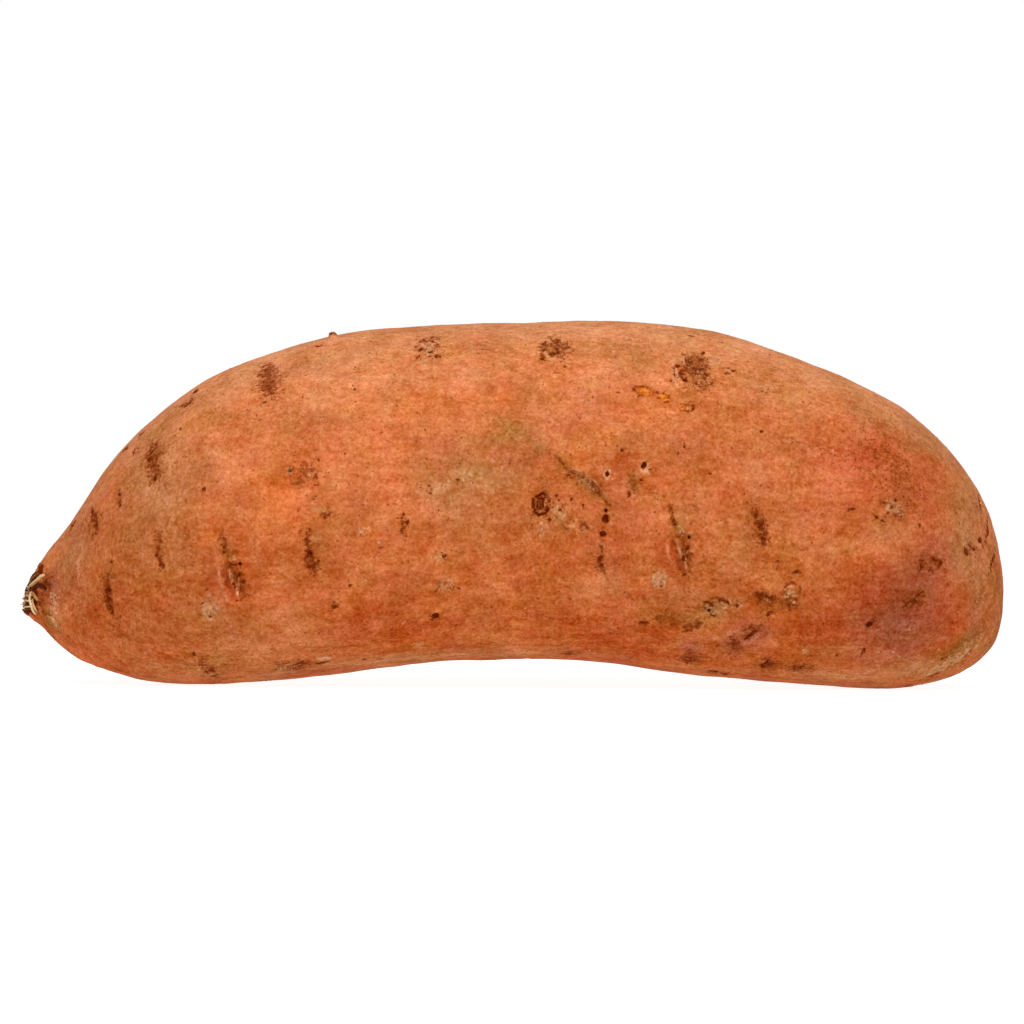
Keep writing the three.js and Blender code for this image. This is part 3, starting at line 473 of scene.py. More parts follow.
        ("blotch", -2.8, -2.1, 1.2, 1.4, 20), ("purple", -2.8, -2.1, 1.6, 1.8, 20),
        ("gap", 0.26, [(-1.3, -1.6), (-0.5, -0.8), (0.3, 0.2)]),
        ("crack", 0.24, [(0.3, 0.2), (0.9, 0.5), (1.3, 0.3)]),
        ("crack", 0.2, [(-1.3, 0.4), (-0.4, 1.1), (1, 0.9)]), ("cork", 0.6, -1, 1.2, 0.5, 30),
    ]),
    (76.1, 2.3, [
        ("gap", 0.26, [(-1.4, -0.8), (-0.4, -0.2), (0.3, 0.7), (0.6, 0.9)]),
        ("crack", 0.2, [(0, 0.2), (0.7, 0.1), (1.2, 0.2)]),
    ]),
    (28.6, 21.4, [
        ("stain", 0, 0.2, 3, 2.2), ("stain", 1.2, 1.7, 1.3, 1), ("dot", -2.2, 0.9, 0.4, 0.4, 20),
        ("patch", -2.3, 1, 0.7, 0.7), ("crack", 0.15, [(-2.5, 0.5), (-2.2, 1.1), (-1.7, 1.2)]),
        ("ochre", -1.1, -1.3, 0.8, 0.6),
        ("crack", 0.16, [(-1.6, -1), (-1.1, -1.6), (-0.5, -1.2), (-0.8, -0.7)]),
        ("dot", 3.1, 3.1, 0.24, 0.22), ("crack", 0.13, [(2.6, 0.2), (2.7, -0.9), (2.9, -2)]),
        ("cork", 1.4, 0.3, 0.9, 0.8), ("crack", 0.16, [(1.6, 1.4), (2.3, 0.3), (1.9, -1)]),
        ("stain", 0.4, -0.4, 2.4, 1.6, 20),
    ]),
    (30.2, 18.3, [
        ("cork", -0.2, 0.1, 1.8, 1.8), ("blotch", 1.4, -1.6, 1.3, 0.9, 10),
        ("crack", 0.14, [(-1.4, 0.9), (-0.4, 1.5), (0.9, 1)]),
        ("crack", 0.26, [(0.6, -2.1), (1.5, -2.3), (2.2, -1.3), (2.3, -0.7)]), ("dot", 1.4, -1.6, 0.3, 0.2),
    ]),
    (19.2, 7.9, [
        ("patch", 0, -0.1, 1.7, 2.1), ("halo", 0.2, 0.3, 0.5, 0.4), ("faint", -1.2, 0.8, 0.5, 0.4),
        ("dot", 0.2, -1.6, 0.36, 0.22), ("halo", 0.1, -2.1, 0.4, 0.25), ("dot", -1.2, 0.9, 0.22, 0.2),
    ]),
    (65.1, 11.1, [
        ("patch", 0, -0.1, 1.5, 1.8), ("halo", 0, 0, 0.4, 0.4), ("faint", -1.1, 1.2, 0.4, 0.3),
        ("dot", 0.3, -1.6, 0.36, 0.22), ("dot", -1, 1.2, 0.22, 0.2),
    ]),
    (59, 19.4, [
        ("olive", -1.8, 1.8, 2.6, 1.3, -30), ("stain", -4.4, 3.8, 4.4, 1, -38),
        ("stain", 0.6, -0.2, 2.4, 0.8, -42),
        ("furrow", 0.22, [(-9.6, 8.6), (-7.8, 7.2), (-5.9, 5), (-3.7, 3.7), (-1.5, 2.2), (-0.2, 0.6),
                          (1.5, -1.2), (2.4, -2.8)]),
        ("olive", -1.2, 1.4, 2.6, 1.3, -38), ("cork", -2.6, 2.4, 3.4, 1.1, -34),
        ("blotch", -1, 1.6, 1.1, 0.5, -42),
        ("lip", 0.3, [(-5.5, 5.7), (-3.3, 4.4), (-1, 2.8), (0.4, 1.1), (2, -0.6)]),
        ("stain", -1.5, 1.5, 1.2, 0.7, -38), ("scratch", 0.12, [(0.9, -0.9), (1.8, -1.8), (2.7, -2.7)]),
    ]),
    (1.7, 9.4, [
        ("purple", 2.4, 1, 1.8, 3.4, 8), ("stain", 1.9, 1.2, 1.5, 2.6, 8),
        ("bark", -1.7, -1.2, 1.5, 3.2, 12), ("bark", -0.3, 3.1, 0.8, 1.4, -35),
        ("blotch", 1.2, 1.2, 1.1, 1.4, -30), ("red", 2.2, -1.6, 1.6, 3, 20),
        ("patch", 2.5, -0.8, 1.2, 0.75, -8), ("halo", 2.3, -0.4, 0.5, 0.3), ("dot", 2.2, -1.35, 0.4, 0.13),
        ("patch", 2.4, -1.9, 1.1, 0.6, -15), ("halo", 2.8, -1.9, 0.4, 0.3),
        ("dot", 2.3, -2.45, 0.5, 0.13, -12), ("blotch", 0.4, -1.9, 0.8, 2.3, 8),
        ("faint", 1.1, -0.9, 0.3, 1, 5), ("blotch", 1.1, 2, 0.8, 1.2, -20), ("dot", 0.1, 4.2, 0.4, 0.45),
        ("blotch", 0.3, 3.9, 0.8, 0.8, -35), ("halo", 2.9, -0.6, 0.5, 0.3),
        ("ring", 0.32, [(1.9, -2.9), (2.4, -3.1), (3, -3.6)]),
        ("ring", 0.26, [(1.5, -4.4), (2.4, -4.8), (3.2, -5.4)]),
        ("scratch", 0.2, [(1.2, -3.9), (2.2, -4.3), (3.4, -5)]),
        ("scratch", 0.2, [(2.2, -5.6), (3, -6), (3.9, -6.6)]), ("cork", 2.8, -5.6, 1.2, 0.5, -30),
        ("olive", 2.2, -5.2, 2.2, 1.5, -30), ("cork", 2.8, -2.8, 1.2, 2, -10), ("halo", 3.6, 2.6, 0.4, 0.4),
        ("halo", 3.2, -3.9, 0.4, 0.3), ("crack", 0.16, [(-0.6, -3.4), (-0.1, -4.2), (0.6, -4.9)]),
    ]),
]

# Thin lines on their own: kind, half width in mm, and the x and z percent of their points.
LINES = [
    ("scratch", 0.12, [(49.6, 22.6), (50.2, 23.4), (51.4, 23.3), (52.3, 23.2)]),
    ("scratch", 0.2, [(78, 26), (78.7, 25.5), (79.6, 24.9)]),
    ("crack", 0.26, [(86.1, 4.3), (85.9, 3.7), (85.6, 2.9)]),
    ("ring", 0.13, [(88.2, 4.6), (89.2, 3.6), (90.3, 3), (91.9, 2.4)]),
    ("crack", 0.14, [(28.5, 29.3), (28.7, 29.6)]), ("crack", 0.16, [(29, 29.5), (29.3, 29)]),
    ("ring", 0.14, [(30, 31), (30.7, 31.3), (31.6, 31.9)]), ("ring", 0.12, [(29.9, 33.6), (30.6, 33)]),
    ("crack", 0.2, [(15.9, 28.3), (16.4, 28.6), (17, 28.9)]), ("ring", 0.12, [(34.5, 10.4), (35.4, 10.9)]),
    ("ring", 0.14, [(38.8, 6.2), (39.6, 7.2)]), ("scratch", 0.14, [(63, 18.4), (63.8, 17.6)]),
]

# Tints of the skin, by kind: x and z percent, half width and height in mm, strength, and any lean in degrees.
TINTS = {
    "orange": [
        (25.8, 18.8, 7, 6.5, 0.95), (19, 15.4, 2.5, 2.6, 0.6), (38, 22.5, 4.5, 7, 0.6),
        (56.6, 23.2, 5, 3.2, 0.75, -25), (63.6, 27.8, 6, 2.6, 0.6), (32, 22.5, 9, 5, 0.4, 10),
        (43, 29, 14, 4, 0.4), (53.9, 32.4, 3, 1.2, 0.5), (60, 25.6, 3, 1.6, 0.5), (70, 28.5, 8, 4, 0.3),
        (37, 14, 5, 6, 0.35), (66, 20, 4, 5, 0.25), (48, 8, 26, 6, 0.45), (49.8, 25.8, 4.5, 2.2, 0.5, -28),
    ],
    "red": [
        (38.8, 26.2, 1.6, 2, 0.5), (38.2, 21, 1.3, 2.2, 0.4), (61, 23.4, 3, 1.6, 0.6, 20),
        (80, 7.5, 9, 4, 0.45), (84, 17, 5, 4, 0.25), (88.3, 22.5, 7.5, 4.8, 1, -30), (81, 24, 6, 4, 0.45),
        (8, 8.5, 6, 4, 0.35), (93, 9, 5, 6, 0.6, 20), (22.5, 12, 3, 6, 0.45), (90.5, 20.5, 3, 2.5, 0.6),
        (70, 17, 4, 6, 0.25), (32, 13.5, 4, 3, 0.3), (58.5, 20, 3, 3, 0.5), (43.2, 11.4, 3, 3, 0.3),
        (40, 6.2, 16, 2, 0.2), (60, 7.2, 12, 3, 0.4), (95, 8.5, 4, 5, 0.6, 20), (60, 5.4, 8, 2.4, 0.7),
        (86, 10, 6, 5, 0.4, 20), (88, 8, 9, 7, 0.5, 25), (91.5, 21.5, 6, 5, 0.6, -30),
        (58.9, 15, 3, 3.5, 0.6), (90, 22.5, 10, 7, 0.35, -20), (80.4, 9.6, 2.5, 2, 0.4),
        (7, 15.5, 4, 5, 0.3, 40),
    ],
    "tan": [
        (13.5, 18.5, 8, 7.5, 0.75), (12, 24, 7, 5, 0.65, 45), (46.6, 21.6, 9, 5, 0.8),
        (96.5, 16, 4, 9, 0.8, 12), (88, 27, 7, 3, 0.6, -28), (5, 13.5, 6, 3, 0.6, 40),
        (31, 33.5, 12, 2, 0.3, 6), (62, 33, 5, 3, 0.5), (89, 17.4, 5, 4, 0.5), (67, 8.6, 6, 3.4, 0.6),
        (60, 11, 4, 4, 0.3), (44, 3.2, 36, 1.5, 0.75), (15, 1.5, 12, 2, 0.6), (82, 1.2, 18, 1.5, 0.5),
        (20, 9, 4, 6, 0.35), (42, 20.5, 4, 3, 0.5), (59.5, 21.5, 3.5, 5, 0.4), (97.5, 8, 2.5, 6, 0.7, 10),
        (90, 1.8, 6, 1.5, 0.7, 15), (79, 29, 8, 2.5, 0.5, -18), (74, 15, 3, 6, 0.25),
        (10, 5, 6, 5, 0.4, -35), (54.5, 17, 3.5, 4, 0.45, -30), (3.6, 6.2, 2, 2, 0.7),
        (20, 29.5, 5, 2, 0.6, 35), (92, 26, 8, 4.5, 0.75, -38), (5.8, 14.5, 3, 3.5, 0.7, 40),
        (59, 14, 3, 3, 0.5), (92, 2.5, 5, 2, 0.6, 15), (8, 17, 4, 5, 0.4, 40),
    ],
    "olive": [
        (50.2, 26, 4.2, 1.9, 0.85, -28), (48.2, 24.9, 2.6, 1.4, 0.6), (52.8, 24.2, 1.4, 1.3, 0.7),
        (55.2, 22.7, 2, 1.6, 0.6), (62.5, 21, 0.9, 1.8, 0.7, 15), (66.5, 7, 4, 1.5, 0.5),
        (74.5, 17.6, 2, 2.6, 0.35), (30, 14.6, 2, 3.2, 0.4), (95.6, 4.2, 4.4, 0.9, 1, 38),
        (11, 15, 4, 4, 0.4), (69.5, 32, 3.4, 3, 0.4), (95.3, 18.3, 2.6, 2.6, 0.5),
    ],
    "light": [
        (47, 24, 3, 2, 0.4), (25, 4.4, 5, 2.2, 1), (64, 16, 3, 4, 0.6), (3.5, 7.2, 2.6, 4.4, 1),
        (60, 35.6, 4, 1, 0.8), (33, 32, 9, 4.5, 0.9, 5), (35, 24, 6, 7, 0.8), (41, 17.5, 7, 4, 0.6),
        (33, 20, 2.5, 3, 0.7), (31, 9.5, 15, 3, 0.7), (26, 5, 6, 3.5, 1), (80.5, 15, 4.5, 5, 0.7),
        (76.8, 10.8, 2.5, 2, 0.9), (67, 13.5, 2, 2, 0.5), (72.5, 6, 5, 2, 0.7), (82, 22.5, 4, 3, 0.6),
        (44.8, 31, 4, 3.5, 0.8), (59.5, 31.5, 4, 3.5, 0.8), (22.8, 13, 2, 2, 0.6),
        (62.6, 16.5, 2.5, 2, 0.7), (79, 34, 5, 2, 0.6, -15), (98, 11, 2, 3, 0.6), (86, 14.5, 4, 2.5, 0.6),
        (29, 6, 7, 3, 0.8), (71, 5.5, 8, 2, 0.5), (48.2, 13, 2.5, 2.5, 0.8), (48, 10, 5, 3, 0.6),
        (19.6, 24, 3, 3.5, 0.8), (75, 22, 5, 4.5, 0.8), (41, 31, 2.5, 2.5, 0.9),
        (31.5, 34.6, 5, 1.6, 0.7, 10), (74.5, 34.5, 3, 1.6, 0.8, -10), (59, 27.5, 3, 3, 0.6),
        (36, 6, 4, 2, 0.6),
    ],
    "purple": [
        (90, 4, 5, 2.6, 0.7, 25), (89.5, 7.5, 8.5, 6.4, 0.85, 32), (92.6, 12.5, 4.4, 6, 0.75, -20),
        (81.5, 14.5, 3.5, 2, 0.12), (68.4, 3.8, 2.2, 1.6, 0.7, 20), (86, 3.4, 2.6, 1.8, 0.35),
        (72.5, 4.2, 1.8, 1.6, 0.6), (5.5, 9, 3, 4.5, 0.45), (21.5, 18, 3, 3, 0.2),
    ],
}

# Scars on the sides that the front doesn't show are strewn by rule: kind, count, half width and height in mm.
STREW_SEED = 41
STREW = (
    ("stain", 34, 1.9, 2.8), ("blotch", 30, 1.2, 2), ("streak", 20, 0.6, 1.6), ("cork", 14, 1.7, 1.8),
    ("patch", 5, 1.3, 1.5), ("dot", 70, 0.32, 0.28), ("pit", 9, 0.4, 0.42), ("crust", 6, 1.7, 1.3),
    ("halo", 12, 0.5, 0.4),
)
STREWN_SLITS = ((0.36, 0.21), (0.71, 0.28), (0.55, 0.07), (0.2, 0.14))       # along and turn of each
STREWN_TINTS = (("orange", 8, 0.6), ("red", 14, 0.55), ("tan", 16, 0.7), ("olive", 8, 0.5), ("purple", 4, 0.5))
STREW_ALONG, STREW_TURN = (0.06, 0.96), (-0.02, 0.55)                        # where the scars lie
TINT_ALONG, TINT_TURN = (0.04, 0.97), (0.03, 0.5)                            # where the tints lie
STEEPEST, STEEPEST_TINT = 0.55, 0.5                 # the least share of a size that shows on sloping skin


def leaning(right, around, lean):
    """The two directions of a patch, turned by a lean in degrees."""
    c, s = math.cos(math.radians(lean)), math.sin(math.radians(lean))
    return right * c + around * s, around * c - right * s


# Every scar is put in the same form: spots as a patch with half sizes, and lines as points on the skin.
marks = []


def put(strokes, place, seen=True):
    """Adds strokes to the marks. place turns mm across and up into a patch of skin.
    Where the sizes are as seen from the front, they grow on skin that slopes away."""
    for kind, *shape in strokes:
        if isinstance(shape[1], list):
            marks.append((kind, shape[0], np.array([place(*point)[0] for point in shape[1]])))
            continue
        across, up, wide, tall, lean = (*shape, 0)[:5]
        centre, right, around, out = place(across, up)
        if seen:
            wide, tall = wide / max(STEEPEST, abs(right[0])), tall / max(STEEPEST, abs(around[2]))
        marks.append((kind, (centre, *leaning(right, around, lean)), (wide, tall)))


for kind, x, z, *size in SPOTS:
    put([(kind, 0, 0, *size)], lambda across, up: front_patch(x, z))
for x, z, strokes in GROUPS:
    put(strokes, lambda across, up: front_patch(x + across / PERCENT, z + up / PERCENT))
for kind, width, points in LINES:
    put([(kind, width, points)], front_patch)

# Where the stem broke off, bark covers the tip, with a hollow in it that the strands stand round.
tip_patch = skin_at([0.0], [0.0])[0], np.array([0.0, 1.0, 0.0]), np.array([0.0, 0.0, 1.0])
marks += [("bark", tip_patch, (2.2, 2.5)), ("break", tip_patch, (1.2, 1.4))]
front_marks = len(marks)
strew = random.Random(STREW_SEED)
for along, turn in STREWN_SLITS:
    steps = skin_at([along, along + 0.01, along], [turn, turn, turn + 0.01])
    ahead, over = np.linalg.norm(steps[1:] - steps[0], axis=1) * 100
    put(SLIT, lambda across, up: patch_at(along + across / ahead, turn - up / over), seen=False)
for kind, count, wide, tall in STREW:
    for _ in range(count):
        centre, right, around, out = patch_at(strew.uniform(*STREW_ALONG), strew.uniform(*STREW_TURN))
        size = strew.uniform(0.6, 1.15)
        right, around = leaning(right, around, strew.gauss(0, 14))
        marks.append((kind, (centre, right, around), (wide * size, tall * size * strew.uniform(0.8, 1.3))))

tints = []
for kind, places in TINTS.items():
    for place in places:
        x, z, wide, tall, strength, lean = (*place, 0)[:6]
        centre, right, around, out = front_patch(x, z)
        tall /= max(STEEPEST_TINT, abs(around[2]))
        tints.append((kind, centre, *leaning(right, around, lean), wide, tall, strength))
for kind, count, strength in STREWN_TINTS:
    for _ in range(count):
        centre, right, around, out = patch_at(strew.uniform(*TINT_ALONG), strew.uniform(*TINT_TURN))
        size = strew.uniform(2.5, 8.0)
        right, around = leaning(right, around, strew.uniform(-40, 40))
        tints.append((kind, centre, right, around, size * 1.3, size, strength))

SEAM = 0.42                  # turn at which the skin's mesh closes, low on the back
FINENESS = 1.08              # mm between the mesh's lines
SAME_PLACE = 0.004           # mm within which corners of the closing seam become one


def even_stops(walk):
    """Shares from 0 to 1 about FINENESS apart, where walk gives the way between evenly spaced shares."""
    way = np.concatenate([[0], np.cumsum(walk)])
    count = round(way[-1] / FINENESS)
    return np.interp(np.linspace(0, way[-1], count + 1), way, np.linspace(0, 1, len(way)))


def steps_between(points):
    return np.linalg.norm(np.diff(points, axis=0), axis=1)


fine = np.linspace(0, 1, 2001)
meridians = [skin_at(fine, np.full_like(fine, turn)) for turn in np.linspace(0, 1, 12, endpoint=False)]
along_stops = even_stops(np.max([steps_between(line) for line in meridians], axis=0))
turn_stops = SEAM - 1 + even_stops(steps_between(skin_at(np.full_like(fine, 0.5), SEAM - 1 + fine)))

# The mesh starts as a flat sheet, one step to a face, which is split near the scars and wrapped on the root.
sheet = bmesh.new()
columns = [[sheet.verts.new((i, j, 0)) for j in range(len(turn_stops))] for i in range(len(along_stops))]
for here, after in zip(columns, columns[1:]):
    for j in range(len(turn_stops) - 1):
        sheet.faces.new((here[j], after[j], after[j + 1], here[j + 1]))


def wrapped(flat):
    return skin_at(np.interp(flat[:, 0], np.arange(len(along_stops)), along_stops),
                   np.interp(flat[:, 1], np.arange(len(turn_stops)), turn_stops))


# Kinds without an edge that needs a finer mesh, and those that look right without one on the other sides.
EDGELESS = ("faint", "russet", "purple", "olive", "orange", "red")
SOFT = ("stain", "cork", "blotch", "halo")
LOW_RELIEF = 0.15            # mm


def shows_edge(kind, on_front):
    return kind not in EDGELESS and (on_front or kind not in SOFT)


def has_relief(kind, on_front):
    return "crisp" in SCARS[kind] or abs(SCARS[kind].get("lift", 0)) > LOW_RELIEF


def circles(wanted):
    """The middles and radii of circles that cover the marks of the wanted kinds."""
    found = []
    for i, (kind, shape, size) in enumerate(marks):
        if not wanted(kind, i < front_marks):
            continue
        if isinstance(shape, tuple):
            found.append((shape[0], max(size)))
        else:
            joints = zip(size, size[1:])
            found += [((start + end) / 2, np.linalg.norm(end - start) / 2 + shape) for start, end in joints]
    return found


# The reach in mm round a scar within which the mesh is split in two, and again at relief or a clear edge.
EDGE_REACH, RELIEF_REACH = 0.5, 0.2
for reach, wanted in ((EDGE_REACH, shows_edge), (RELIEF_REACH, has_relief)):
    flat = np.array([face.calc_center_median()[:2] for face in sheet.faces])
    middles = wrapped(flat)
    near = np.zeros(len(middles), bool)
    for centre, size in circles(wanted):
        near |= np.sum((middles - centre) ** 2, axis=1) < (size + reach) ** 2
    # The faces at the closing seam stay whole, so that its two sides match.
    near &= (flat[:, 1] > 1) & (flat[:, 1] < len(turn_stops) - 2)
    split = {edge for face, chosen in zip(sheet.faces, near) if chosen for edge in face.edges}
    bmesh.ops.subdivide_edges(sheet, edges=list(split), cuts=1, use_grid_fill=True)

for vert, place in zip(sheet.verts, wrapped(np.array([vert.co[:2] for vert in sheet.verts]))):
    vert.co = place
bmesh.ops.remove_doubles(sheet, verts=sheet.verts, dist=SAME_PLACE)
bmesh.ops.recalc_face_normals(sheet, faces=sheet.faces)
skin_mesh = bpy.data.meshes.new("root_skin")
sheet.to_mesh(skin_mesh)
sheet.free()

count = len(skin_mesh.vertices)
base, outward = np.empty(count * 3), np.empty(count * 3)
skin_mesh.vertices.foreach_get("co", base)
skin_mesh.vertex_normals.foreach_get("vector", outward)
base, outward = base.reshape(-1, 3), outward.reshape(-1, 3)


def roughness_at(points, size, seed):
    """Smooth noise from about -1 to 1 at points, with lumps of a size in mm."""
    shift = Vector((seed * 17.3, seed * 5.1, seed * 9.7))
    return np.array([noise.noise(Vector(point) / size + shift) for point in points])


def ease(value, start, end):
    """0 before start and 1 after end, with a smooth step between them. end may be the lower of the two."""
    t = np.clip((value - start) / (end - start), 0, 1)
    return t * t * (3 - 2 * t)


# The root swelled unevenly: broad lumps, soft pinches and fine lengthwise wrinkles.
LUMPS = ((19.0, 0.34, 1), (8.0, 0.15, 2), (3.2, 0.07, 3))      # size in mm, rise in mm, seed
WRINKLE_SIZE, WRINKLE_RISE = 2.4, 0.08                         # mm
WRINKLE_STRETCH = 0.22                                         # the less, the more drawn out
rise = sum(roughness_at(base, size, seed) * height for size, height, seed in LUMPS)
rise += roughness_at(base * [WRINKLE_STRETCH, 1, 1], WRINKLE_SIZE, 4) * WRINKLE_RISE
shows = {name: np.zeros(count) for name in SHOWS}
TISSUE_NAMES = ("dark", "brown", "cork", "flesh", "pale")
RIM_RISE = 0.08              # mm


def show(name, where, amount):
    """Lays an amount of a show over what is there, so that it only grows."""
    shows[name][where] = 1 - (1 - shows[name][where]) * (1 - np.clip(amount, 0, 1))


def band(distance, middle, width):
    """1 at a distance and 0 well away from it."""
    return np.exp(-(((distance - middle) / width) ** 2))


def scar(kind, where, distance, strength):
    """Lays a kind of scar on some points: distance is 0 at its middle and 1 at its edge."""
    traits = SCARS[kind]
    body = (ease(distance, 1.2, 0.7) if "crisp" in traits else band(distance, 0, 1)) * strength
    for name in TISSUE_NAMES:
        shows[name][where] *= 1 - traits.get("over", 0) * body
    for name in SHOWS:
        show(name, where, traits.get(name, 0) * body)
    rise[where] += body * traits.get("lift", 0)
    if "rim" in traits:
        rim = band(distance, 1.5, 0.3) * strength
        rise[where] += RIM_RISE * rim
        show("pale", where, traits["rim"] * rim)
    if "edge" in traits:
        show("brown", where, traits["edge"] * band(distance, 1.0, 0.2) * strength)
        show("red", where, 0.6 * band(distance, 1.2, 0.4) * strength)
    return body


for number, (kind, shape, size) in enumerate(marks):
    traits = SCARS[kind]
    if isinstance(shape, tuple):
        centre, right, around = shape
        wide, tall = size
        reach = 2.1 * max(wide, tall) + 0.5
        where = np.nonzero(np.sum((base - centre) ** 2, axis=1) < reach**2)[0]
        away = base[where] - centre
        local = base[where] + number * 3.7
        distance = np.hypot(away @ right / wide, away @ around / tall)
        lump = min(1.1, max(0.35, min(wide, tall) * 0.9))
        distance = distance + traits.get("ragged", 0) * roughness_at(local, lump, 5)
        body = scar(kind, where, distance, 1.0)
        if "grit" in traits:
            grit = roughness_at(local, 0.7, 6) + 0.6 * roughness_at(local, 0.4, 7)
            rise[where] += body * traits["grit"] * grit
        continue
    middle = size.mean(axis=0)
    reach = np.max(np.linalg.norm(size - middle, axis=1)) + 4 * shape + 0.5
    where = np.nonzero(np.sum((base - middle) ** 2, axis=1) < reach**2)[0]
    nearest = np.full(len(where), np.inf)
    passed = np.zeros(len(where))
    lengths = steps_between(size)
    before = np.concatenate([[0], np.cumsum(lengths)])
    for start, end, length, gone in zip(size, size[1:], lengths, before):
        ahead = (end - start) / length
        t = np.clip((base[where] - start) @ ahead, 0, length)
        away = base[where] - start - t[:, None] * ahead
        away -= outward[where] * np.sum(away * outward[where], axis=1)[:, None]
        gap = np.linalg.norm(away, axis=1)
        closer = gap < nearest
        nearest[closer] = gap[closer]
        passed[closer] = (gone + t[closer]) / before[-1]
    local = base[where] + number * 2.9
    taper = ease(passed, -0.05, 0.18) * ease(passed, 1.05, 0.82)
    bead = 1 - traits.get("beads", 0) * ease(roughness_at(local, 0.55, 8), 0.05, -0.3)
    wobble = 1 + 0.4 * roughness_at(local, 0.8, 9)
    scar(kind, where, nearest / (shape * wobble), taper * bead)

for kind, centre, right, around, wide, tall, strength in tints:
    where = np.nonzero(np.sum((base - centre) ** 2, axis=1) < (2.2 * max(wide, tall)) ** 2)[0]
    away = base[where] - centre
    distance = np.hypot(away @ right / wide, away @ around / tall)
    show(kind, where, strength * band(distance, 0, 1))

# How high on the root's side each point lies: 0 on the hollow side and 1 on the arched back.
back_line, hollow_line = skin_at(fine, np.zeros_like(fine)), skin_at(fine, np.full_like(fine, 0.5))
hollow_z = np.interp(base[:, 0], hollow_line[:, 0], hollow_line[:, 2])
back_z = np.interp(base[:, 0], back_line[:, 0], back_line[:, 2])
shows["climb"] = np.clip((base[:, 2] - hollow_z) / np.maximum(back_z - hollow_z, 1.0), 0, 1)

CLEAR_OF_GROUND = 0.4        # mm
placed = base + outward * rise[:, None]
# Where it rests the skin is pressed flat on the ground, and nothing loose lies under it.
placed[:, 2] = np.maximum(placed[:, 2], 0)
off_ground = placed[:, 2] > CLEAR_OF_GROUND
crumbs_here = np.clip(shows["brown"] + 0.5 * shows["cork"] - 0.25, 0, 1)
shows["crumbly"] = off_ground * crumbs_here
shows["smooth"] = off_ground * (1 - crumbs_here)
skin_mesh.vertices.foreach_set("co", (placed * MM).ravel())
for name, values in shows.items():
    skin_mesh.attributes.new(name, "FLOAT", "POINT").data.foreach_set("value", values.astype(np.float32))
skin_mesh.update()


def stand(name, data, smooth=False):
    """A new object in the scene. A smooth mesh is shaded as one rounded surface."""
    if smooth:
        data.polygons.foreach_set("use_smooth", np.ones(len(data.polygons), bool))
    thing = bpy.data.objects.new(name, data)
    bpy.context.scene.collection.objects.link(thing)
    return thing


def add(tree, kind, inputs=None, **settings):
    """Adds a node with its settings. Each input is given by name or number, as a value, a socket to link, or
    a node whose first output is linked."""
    made = tree.nodes.new(kind)
    for name, value in settings.items():
        setattr(made, name, value)
    for key, value in (inputs or {}).items():
        if isinstance(value, bpy.types.Node):
            value = value.outputs[0]
        if isinstance(value, bpy.types.NodeSocket):
            tree.links.new(value, made.inputs[key])
        else:
            made.inputs[key].default_value = value
    return made


def linear(hex_code):
    """A colour given as sRGB hex, as the linear red, green, blue and alpha that materials use."""
    channels = [int(hex_code[i:i + 2], 16) / 255 for i in (1, 3, 5)]
    return [c / 12.92 if c <= 0.04045 else ((c + 0.055) / 1.055) ** 2.4 for c in channels] + [1.0]


def bare_material(name):
    """A new material and its tree, with nothing in it yet."""
    material = bpy.data.materials.new(name)
    material.use_nodes = True
    material.node_tree.nodes.clear()
    return material, material.node_tree


def set_stops(ramp, stops):
    """Gives a colour ramp its stops, each a place from 0 to 1 and a colour."""
    for spot, hex_code in stops[1:-1]:
        ramp.color_ramp.elements.new(spot)
    for element, (spot, hex_code) in zip(ramp.color_ramp.elements, stops):
        element.position = spot
        element.color = linear(hex_code)


# Cured sweet potato skin: a corky layer a few cells thick over orange flesh. It looks matt and dusty, paler on
# top with a painted sheen and darker low down with painted shade, and finely flecked down to a third of a mm,
# with dark specks where fine roots were rubbed off.
skin = stand("root_skin", skin_mesh, smooth=True)
cured_skin, tree = bare_material("cured_sweet_potato_skin")
place = add(tree, "ShaderNodeTexCoord").outputs["Object"]
PER_MM = 1 / MM
amounts = {name: add(tree, "ShaderNodeAttribute", attribute_name=name).outputs["Fac"]
           for name in (*SHOWS, "climb")}

# Noise that the skin is flecked with, from -1 to 1: size in mm, detail, roughness, how drawn out it is (1 is
# not at all, and less is more), and a shift in mm that keeps the patterns apart.
GRAINS = {
    "cloud": (13.0, 2.0, 0.5, 0.8, 0), "fleck": (9.0, 4.6, 0.95, 0.85, 30), "fibre": (1.6, 3.0, 0.7, 0.12, 60),
    "grain": (1.1, 2.0, 0.7, 0.85, 90), "crumb": (0.55, 1.0, 0.6, 1.0, 120), "pock": (0.5, 1.0, 0.6, 1.0, 150),
    "clot": (0.8, 1.5, 0.65, 1.0, 180),
}
grains = {}
for name, (size, detail, coarseness, stretch, shift) in GRAINS.items():
    drawn_out = add(tree, "ShaderNodeMapping", {
        "Vector": place, "Location": (shift * MM, shift * MM, 0), "Scale": (stretch, 1, 1)})
    raw = add(tree, "ShaderNodeTexNoise", {
        "Vector": drawn_out, "Scale": PER_MM / size, "Detail": detail, "Roughness": coarseness})
    grains[name] = add(tree, "ShaderNodeMapRange", {
        "Value": raw, "From Min": 0.25, "From Max": 0.75, "To Min": -1.0, "To Max": 1.0})

# The skin's colour, from low on the root's side to its top: partly its own redder lower side, and partly
# painted shade low down and a painted sheen that makes the top paler.
SKIN_SHADE_AND_SHEEN_BY_CLIMB = ((0.0, "#a95625"), (0.3, "#b15b2a"), (0.6, "#b76336"), (0.88, "#c67444"), (1.0, "#d48b5d"))
CLIMB_CLOUD = 0.08           # how far the clouds shift it
uneven = add(tree, "ShaderNodeMath", {0: grains["cloud"], 1: CLIMB_CLOUD, 2: amounts["climb"]},
             operation="MULTIPLY_ADD")
ramp = add(tree, "ShaderNodeValToRGB", {"Fac": uneven})
set_stops(ramp, SKIN_SHADE_AND_SHEEN_BY_CLIMB)
colour = ramp.outputs[0]

